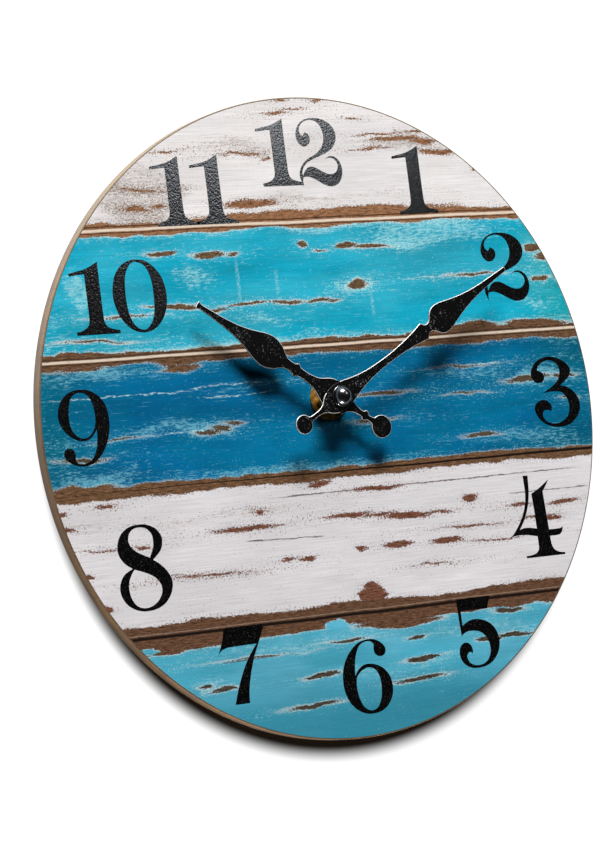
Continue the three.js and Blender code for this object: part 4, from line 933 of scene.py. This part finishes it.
NUMERALS = {
    "1": [one_at(50.2, 78.2, 27.8)],
    "2": [[moved(outline(*TWO), TWO_CORNER, SIDE_TWO_CORNER, SIDE_TWO_SIZE)]],
    "3": [[outline(*THREE)]],
    "4": [[outline(*FOUR)]],
    "5": [[outline(*FIVE)]],
    "6": [[outline(*SIX), round_outline(SIX_EYE)]],
    "7": [[outline(*SEVEN)]],
    "8": [[outline(*EIGHT), outline(*EIGHT_UPPER_EYE), outline(*EIGHT_LOWER_EYE)]],
    "9": [[outline(*NINE), round_outline(NINE_EYE)]],
    "10": [one_at(-101.3, 37.8, 27.8), [round_outline(ZERO), round_outline(ZERO_EYE)]],
    "11": [one_at(-61.2, 77.8, 27.3), one_at(-43.6, 77.8, 27.3)],
    "12": [one_at(-12.0, 91.7, 26.9), [outline(*TWO)]],
}
print("numerals drawn:", ", ".join(NUMERALS))

# %% [markdown]
# The ink is a satin black. In the photograph it carries a fine grain, and the numerals nearest the lamp
# look grey because the grain catches its light, so the finish has a small bump and a broken gloss.

# %% Ink and numerals
INK_FOOT = -0.02
INK_TOP = 0.07


def ink():
    finish = Finish("black_ink", Specular_IOR_Level=0.9)
    place = finish.place()
    grain = finish.noise(place * (1.5, 1.5, 1.5), 1.0, 0.5)
    speck = finish.noise(place * (1.3, 1.3, 1.3), 1.0, 0.5)
    spark = finish.noise(place * (1.9, 1.9, 1.9) + (9.0, 4.0, 2.0), 1.0, 0.5)
    colour = finish.mix(speck.ease(0.58, 0.70) * 0.7, paint(2, 2, 2), paint(36, 36, 40))
    colour = finish.mix(spark.ease(0.66, 0.76) * 0.7, colour, paint(112, 108, 100))
    rough = grain.stretch(0.12, 0.20)
    return finish.feed(Base_Color=colour, Roughness=rough, Normal=finish.bump(grain, 0.00006))


ink_finish = ink()
for figure, shapes in NUMERALS.items():
    points, faces = [], []
    for loops in shapes:
        new_points, new_faces = slab(loops, INK_FOOT, INK_TOP)
        faces += [tuple(len(points) + i for i in face) for face in new_faces]
        points += new_points
    numeral = piece("numeral_" + figure, points, faces, [ink_finish])
    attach(numeral, "clock_frame")
print(len(NUMERALS), "numerals lie", INK_TOP, "mm proud of the dial")

# %% [markdown]
# ## The hands
# Each hand is stamped from thin metal, with a spade half way out and a round counterweight. The stamping
# leaves a bevel that shows as a bright line round the black paint, except beside the hub, where the paint
# covers it. Half-widths along the hand give one side, the other side mirrors it, and a second outline a
# little inside the first makes the bevel.

# %% Hands
MINUTE_WIDTHS = (
    (1.35, -17.0), (1.0, -16.3), (0.95, -12.6), (1.3, -10.6), (2.2, -8.8), (3.7, -7.0), (4.9, -4.4),
    (5.4, -1.5), (5.2, 1.6), (4.7, 4.2), (3.9, 7.0), (3.0, 10.6), (2.15, 15.4), (1.7, 20.6), (1.5, 26.5),
    (1.65, 32.4), (2.0, 37.6), (2.6, 42.6), (3.3, 46.6), (3.6, 48.2), (3.0, 49.0), (2.0, 50.0), (1.85, 51.6),
    (2.7, 53.0), (4.2, 54.2), (5.6, 56.0), (6.1, 58.2), (5.8, 60.8), (5.0, 63.8), (4.0, 67.2), (3.0, 71.4),
    (2.2, 76.0), (1.65, 81.0), (1.28, 87.0), (1.05, 93.0), (0.95, 96.6),
)
HOUR_WIDTHS = (
    (1.45, -18.4), (1.1, -17.6), (1.1, -15.8), (2.0, -15.0), (2.0, -13.8), (1.2, -13.0), (1.3, -10.8),
    (1.8, -8.6), (2.8, -6.9), (4.2, -5.2), (5.6, -3.0), (6.1, 0.0), (6.0, 3.0), (5.4, 5.4), (4.2, 7.6),
    (2.9, 9.8), (2.1, 12.5), (1.75, 16.0), (1.9, 19.2), (2.75, 20.2), (2.7, 21.2), (2.05, 22.2), (2.0, 24.5),
    (2.3, 26.2), (3.5, 28.0), (5.0, 30.0), (6.1, 32.4), (6.6, 35.0), (6.4, 37.2), (5.8, 39.6), (4.6, 42.9),
    (3.3, 47.0), (2.3, 51.5), (1.6, 57.0), (1.25, 62.0), (1.05, 66.0), (1.0, 68.3), (1.5, 69.5),
    (1.35, 70.1),
)
BEVEL_IN = 0.20
BEVEL_DOWN = 0.18
BALL_STEPS = 12
BLADE_STEPS = 4
BORE_STEPS = 32
# For each hand: where the middle of its ball is behind the axis, the ball's radius, how far the tip reaches,
# the hole's radius, the angle past twelve, and the stretch of its length where paint covers the bevel.
MINUTE_SHAPE = (20.8, 3.8, 97.0, 1.28, 61.4, (-4.5, 3.5))
HOUR_SHAPE = (23.0, 4.6, 70.3, 2.58, 304.5, (-6.0, 3.0))


def hand_black():
    finish = Finish("hand_paint", Specular_IOR_Level=0.12)
    place = finish.place()
    grain = finish.noise(place * (1.8, 1.8, 1.8), 3.0, 0.7)
    speck = finish.noise(place * (1.5, 1.5, 1.5), 2.0, 0.6)
    worn = finish.noise(place * (0.16, 0.16, 0.16), 2.0, 0.5)
    specks = (speck + worn * 0.3).ease(0.77, 0.91) * 0.7
    colour = finish.mix(specks, paint(3, 3, 3), paint(140, 140, 144))
    rough = grain.stretch(0.3, 0.6)
    return finish.feed(Base_Color=colour, Roughness=rough, Normal=finish.bump(grain, 0.00008))


def bright_metal(name, light, dark, low, high, metal=1.0, depth=0.00001):
    finish = Finish(name, Metallic=metal)
    place = finish.place()
    cloud = finish.noise(place * (0.5, 0.5, 0.5), 3.0, 0.6)
    scratch = finish.noise(place * (0.7, 0.7, 9.0), 3.0, 0.7)
    colour = finish.mix(cloud.ease(0.3, 0.7), light, dark)
    rough = cloud.stretch(low, high)
    return finish.feed(Base_Color=colour, Roughness=rough, Normal=finish.bump(scratch, depth))


hand_finish = hand_black()
bevel_finish = bright_metal("bare_bevel", paint(226, 224, 220), paint(198, 196, 192), 0.40, 0.55, 0.2)


def hand_outline(widths, tail, ball, tip):
    neck = math.asin(widths[0][0] / ball)
    side = []
    for step in range(BALL_STEPS + 1):
        turn = math.pi - step / BALL_STEPS * (math.pi - neck)
        side.append(Vector((ball * math.sin(turn), -tail + ball * math.cos(turn))))
    blade = smooth_run(widths, BLADE_STEPS) + [Vector(widths[-1])]
    right = side + blade[1:]
    left = [Vector((-p.x, p.y)) for p in reversed(right[1:])]
    return right + [Vector((0.0, tip))] + left


def inset(loop, by):
    """The loop moved inwards, square to itself at each point."""
    area = sum(a.x * b.y - b.x * a.y for a, b in zip(loop, loop[1:] + loop[:1]))
    turn = math.copysign(1, area)
    moved_loop = []
    for before, here, after in zip(loop[-1:] + loop[:-1], loop, loop[1:] + loop[:1]):
        one, two = (here - before).normalized(), (after - here).normalized()
        square = Vector((-one.y - two.y, one.x + two.x)) * turn
        square.normalize()
        lean = max(0.55, square.dot(Vector((-one.y, one.x)) * turn))
        moved_loop.append(here + square * by / lean)
    return moved_loop


def clock_hand(name, node, widths, shape):
    tail, ball, tip, hole, angle, covered = shape
    back, front = heights(node)
    turn = math.radians(angle)

    def at(p, height):
        x = spindle[0] + p.x * math.cos(turn) + p.y * math.sin(turn)
        z = spindle[1] - p.x * math.sin(turn) + p.y * math.cos(turn)
        return spot(x, z, height)

    edge = hand_outline(widths, tail, ball, tip)
    face = inset(edge, BEVEL_IN)
    bore = circle(hole, (0, 0), BORE_STEPS)
    points, faces, picks = [], [], []
    rings = ((edge, back), (edge, front - BEVEL_DOWN), (face, front))
    for loop, height in rings:
        points += [at(p, height) for p in loop]
    count = len(edge)
    for row in range(2):
        for i in range(count):
            j = (i + 1) % count
            low, high = row * count, (row + 1) * count
            faces.append((low + i, low + j, high + j, high + i))
            picks.append(0 if covered[0] < edge[i].y < covered[1] else row)
    start = len(points)
    points += [at(p, height) for height in (back, front) for p in bore]
    for i in range(BORE_STEPS):
        j = (i + 1) % BORE_STEPS
        faces.append((start + i, start + j, start + BORE_STEPS + j, start + BORE_STEPS + i))
        picks.append(1)
    for loop, height in ((edge, back), (face, front)):
        flat, triangles = fill([loop, bore])
        start = len(points)
        points += [at(p, height) for p in flat]
        faces += [tuple(start + i for i in triangle) for triangle in triangles]
        picks += [0] * len(triangles)
    return piece(name, points, faces, [hand_finish, bevel_finish], picks, 20)


minute = clock_hand("spade_minute_hand", "minute_hand", MINUTE_WIDTHS, MINUTE_SHAPE)
hour = clock_hand("spade_hour_hand", "hour_hand", HOUR_WIDTHS, HOUR_SHAPE)
for hand, node, body in ((minute, "minute_hand", "minute_group"), (hour, "hour_hand", "hour_group")):
    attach(hand, body)
    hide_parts(node)
print("hands have", len(minute.data.polygons), "and", len(hour.data.polygons), "faces")

# %% [markdown]
# ## The hub
# A domed cap nut holds the minute hand, and a brass nut with its washer clamps the board to the stem.
# The cap is a turned piece, so it is a profile spun about the axis in fine steps. Its rolled flange catches
# the light as a ring, as in the photograph. The brass pieces follow with the other hard ones below.

# %% Cap
CAP_FLANGE = 4.2
CAP_ROLL = 0.3
ROLL_STEPS = 8
CAP_DOME = 3.85
CAP_NECK = 0.5
DOME_STEPS = 16
CAP_BORE = 1.28
BORE_DEEP = 2.4
cap_back, cap_front = heights("cap_nut")


def cap_profile():
    profile = [(0, cap_back + BORE_DEEP), (CAP_BORE, cap_back + BORE_DEEP), (CAP_BORE, cap_back)]
    for step in range(ROLL_STEPS + 1):
        turn = -math.pi / 2 + step / ROLL_STEPS * math.pi
        reach = CAP_FLANGE - CAP_ROLL + CAP_ROLL * math.cos(turn)
        profile.append((reach, cap_back + CAP_ROLL + CAP_ROLL * math.sin(turn)))
    for step in range(DOME_STEPS + 1):
        turn = step / DOME_STEPS * math.pi / 2
        rise = (cap_front - cap_back - CAP_NECK) * math.sin(turn)
        profile.append((CAP_DOME * math.cos(turn) if step < DOME_STEPS else 0, cap_back + CAP_NECK + rise))
    return profile


chrome = bright_metal("polished_cap", paint(136, 136, 140), paint(104, 104, 109), 0.20, 0.27, 1.0, 0.0000003)
cap = piece("domed_cap", *turned(cap_profile(), spindle), [chrome], None, 50)
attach(cap, "minute_group")
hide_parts("cap_nut")
print("cap stands", round(cap_front, 2), "mm off the dial")

# %% [markdown]
# ## Moulded and stamped pieces
# The case, its cover, the hanger and the other hard pieces already have the right shape in the frame, but
# a CAD edge is perfectly sharp and real edges never are. Each one is copied, its flat triangles are joined
# into whole faces, and its sharp edges are rounded by a fraction of a millimetre, which catches the light.

# %% Softened copies
def softened(node, name, finish, body, slot, width, steps=2, sharp=28):
    mesh = nodes[node].data.copy()
    mesh.name = name
    form = bmesh.new()
    form.from_mesh(mesh)
    bmesh.ops.remove_doubles(form, verts=form.verts, dist=2e-6)
    bmesh.ops.dissolve_limit(form, angle_limit=math.radians(0.6), verts=form.verts, edges=form.edges)
    joined = [edge for edge in form.edges if len(edge.link_faces) == 2]
    edges = [edge for edge in joined if edge.calc_face_angle(0) > math.radians(sharp)]
    bmesh.ops.bevel(form, geom=edges, offset=width * MM, segments=steps, profile=0.5, affect="EDGES",
                    clamp_overlap=True)
    bmesh.ops.triangulate(form, faces=[f for f in form.faces if len(f.verts) > 4])
    form.to_mesh(mesh)
    form.free()
    mesh.materials.clear()
    mesh.materials.append(finish)
    mesh.polygons.foreach_set("use_smooth", [True] * len(mesh.polygons))
    mesh.set_sharp_from_angle(angle=math.radians(sharp + 4))
    made = bpy.data.objects.new(name, mesh)
    scene.collection.objects.link(made)
    made.modifiers.new("even_shading", "WEIGHTED_NORMAL").keep_sharp = True
    shaded = made.evaluated_get(bpy.context.evaluated_depsgraph_get())
    made.data = bpy.data.meshes.new_from_object(shaded)
    made.data.name = name
    made.modifiers.clear()
    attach(made, body)
    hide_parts(node)
    return made


def moulded(name, base, light, rough, depth):
    finish = Finish(name)
    place = finish.place()
    spark = finish.noise(place * (3.2, 3.2, 3.2), 3.0, 0.7)
    cloud = finish.noise(place * (0.08, 0.08, 0.08), 3.0, 0.6)
    colour = finish.mix(cloud.ease(0.3, 0.75) * 0.6, base, light)
    gloss = spark.stretch(rough - 0.1, rough + 0.12)
    return finish.feed(Base_Color=colour, Roughness=gloss, Normal=finish.bump(spark, depth))


brass = bright_metal("yellow_brass", paint(232, 186, 92), paint(146, 102, 42), 0.20, 0.32, 0.5)
case_plastic = moulded("case_plastic", paint(30, 31, 33), paint(46, 47, 50), 0.5, 0.00006)
cover_plastic = moulded("cover_plastic", paint(34, 35, 37), paint(50, 51, 54), 0.56, 0.00008)
knob_plastic = moulded("knob_plastic", paint(22, 22, 24), paint(38, 38, 41), 0.42, 0.00004)
rubber = moulded("washer_rubber", paint(24, 24, 24), paint(36, 36, 35), 0.8, 0.00005)
zinc = bright_metal("zinc_plate", paint(196, 198, 200), paint(158, 161, 166), 0.28, 0.46)
nickel = bright_metal("nickel_strip", paint(206, 202, 192), paint(176, 172, 162), 0.2, 0.34)

# Each hard piece is its CAD node, its name, finish, body and slot, and how far its edges are rounded.
HARD_PIECES = (
    ("brass_washer", "clamp_washer", brass, "clock_frame", "brass", 0.12),
    ("hex_nut", "clamp_nut", brass, "clock_frame", "brass", 0.15),
    ("threaded_stem", "stem", brass, "clock_frame", "brass", 0.08),
    ("rubber_washer", "soft_washer", rubber, "clock_frame", "rubber", 0.25),
    ("hanger_plate", "hanger", zinc, "clock_frame", "steel", 0.16),
    ("case_front", "movement_case", case_plastic, "clock_frame", "case_plastic", 0.28),
    ("back_cover", "movement_cover", cover_plastic, "clock_frame", "case_plastic", 0.22),
    ("setting_knob", "hand_setter", knob_plastic, "setting_group", "case_plastic", 0.12),
    ("contact_positive", "plus_strip", nickel, "clock_frame", "steel", 0.08),
    ("contact_negative", "minus_strip", nickel, "clock_frame", "steel", 0.08),
)
for hard_piece in HARD_PIECES:
    softened(*hard_piece)
print(len(HARD_PIECES), "hard pieces softened")

# %% [markdown]
# ## Inside the movement
# The gear train, the motor and the circuit sit inside the closed case. Their CAD shapes stay as they are,
# and each takes a finish of its own material: pale plastic for the wheels, steel, copper wire, green board.

# %% Inner finishes
wheel_plastic = moulded("wheel_plastic", paint(226, 222, 210), paint(238, 235, 226), 0.45, 0.00003)
plate_plastic = moulded("plate_plastic", paint(214, 212, 204), paint(230, 228, 220), 0.55, 0.00005)
green_board = moulded("green_board", paint(34, 96, 52), paint(46, 116, 64), 0.4, 0.00003)
black_resin = moulded("black_resin", paint(14, 14, 15), paint(26, 26, 28), 0.3, 0.00003)
dark_magnet = bright_metal("dark_magnet", paint(96, 96, 100), paint(66, 66, 70), 0.35, 0.5)
arbor_steel = bright_metal("arbor_steel", paint(200, 202, 206), paint(168, 170, 174), 0.2, 0.32)


def copper_wire():
    finish = Finish("copper_winding", Metallic=0.9)
    place = finish.place()
    turns = finish.node("ShaderNodeTexWave", {"bands_direction": "X"}, {"Vector": place, "Scale": 1.6})
    colour = finish.mix(turns, paint(120, 58, 26), paint(212, 122, 70))
    rough = turns.stretch(0.3, 0.5)
    return finish.feed(Base_Color=colour, Roughness=rough, Normal=finish.bump(turns, 0.0001))


INNER = {
    wheel_plastic: ("centre_wheel", "third_wheel", "fourth_wheel", "fifth_wheel", "motion_wheel", "rotor",
                    "setting_pinion", "coil_bobbin"),
    plate_plastic: ("train_plate", "rear_plate"),
    green_board: ("circuit_board",),
    black_resin: ("chip_resin",),
    dark_magnet: ("rotor_magnet",),
    arbor_steel: ("minute_arbor", "stator", "coil_core", "quartz_crystal"),
    brass: ("hour_wheel", "clutch_spring"),
    copper_wire(): ("coil_winding",),
}
for finish, names in INNER.items():
    for name in names:
        nodes[name].material_slots[0].material = finish
print(sum(map(len, INNER.values())), "inner pieces have their finishes")

# %% [markdown]
# ## The battery
# One round cell lies across the bottom of the movement. Its sleeve is a plain printed film in two colours,
# with no lettering, and its ends are bare steel. The finish reads how far along the cell a point is.

# %% Battery
def cell_sleeve():
    finish = Finish("cell_sleeve")
    place = finish.place()
    along = place.part("X")
    film = finish.noise(place * (0.2, 1.4, 1.4), 3.0, 0.6)
    cell_low, cell_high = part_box("battery")
    left, right = cell_low.x / MM, cell_high.x / MM
    band = along.ease(right - 17.2, right - 17.0)
    line = abs(along - (right - 17.8)).ease(0.45, 0.35)
    sleeve = finish.mix(band, paint(38, 84, 122), paint(196, 150, 74))
    sleeve = finish.mix(line, sleeve, paint(224, 224, 220))
    ends = along.ease(left + 0.7, left + 0.6).most(along.ease(right - 1.9, right - 1.8))
    colour = finish.mix(ends, sleeve, paint(206, 206, 204))
    rough = film.stretch(0.22, 0.4)
    metal = ends.most(band * 0.6).most(0.15)
    dents = finish.bump(film, 0.00003)
    return finish.feed(Base_Color=colour, Roughness=rough, Metallic=metal, Normal=dents)


softened("battery", "round_cell", cell_sleeve(), "battery_group", "cell_sleeve", 0.25)
cell_foot, cell_top = (round(corner.z / MM, 1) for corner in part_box("battery"))
print("battery lies from", cell_foot, "to", cell_top, "mm, below the axis")
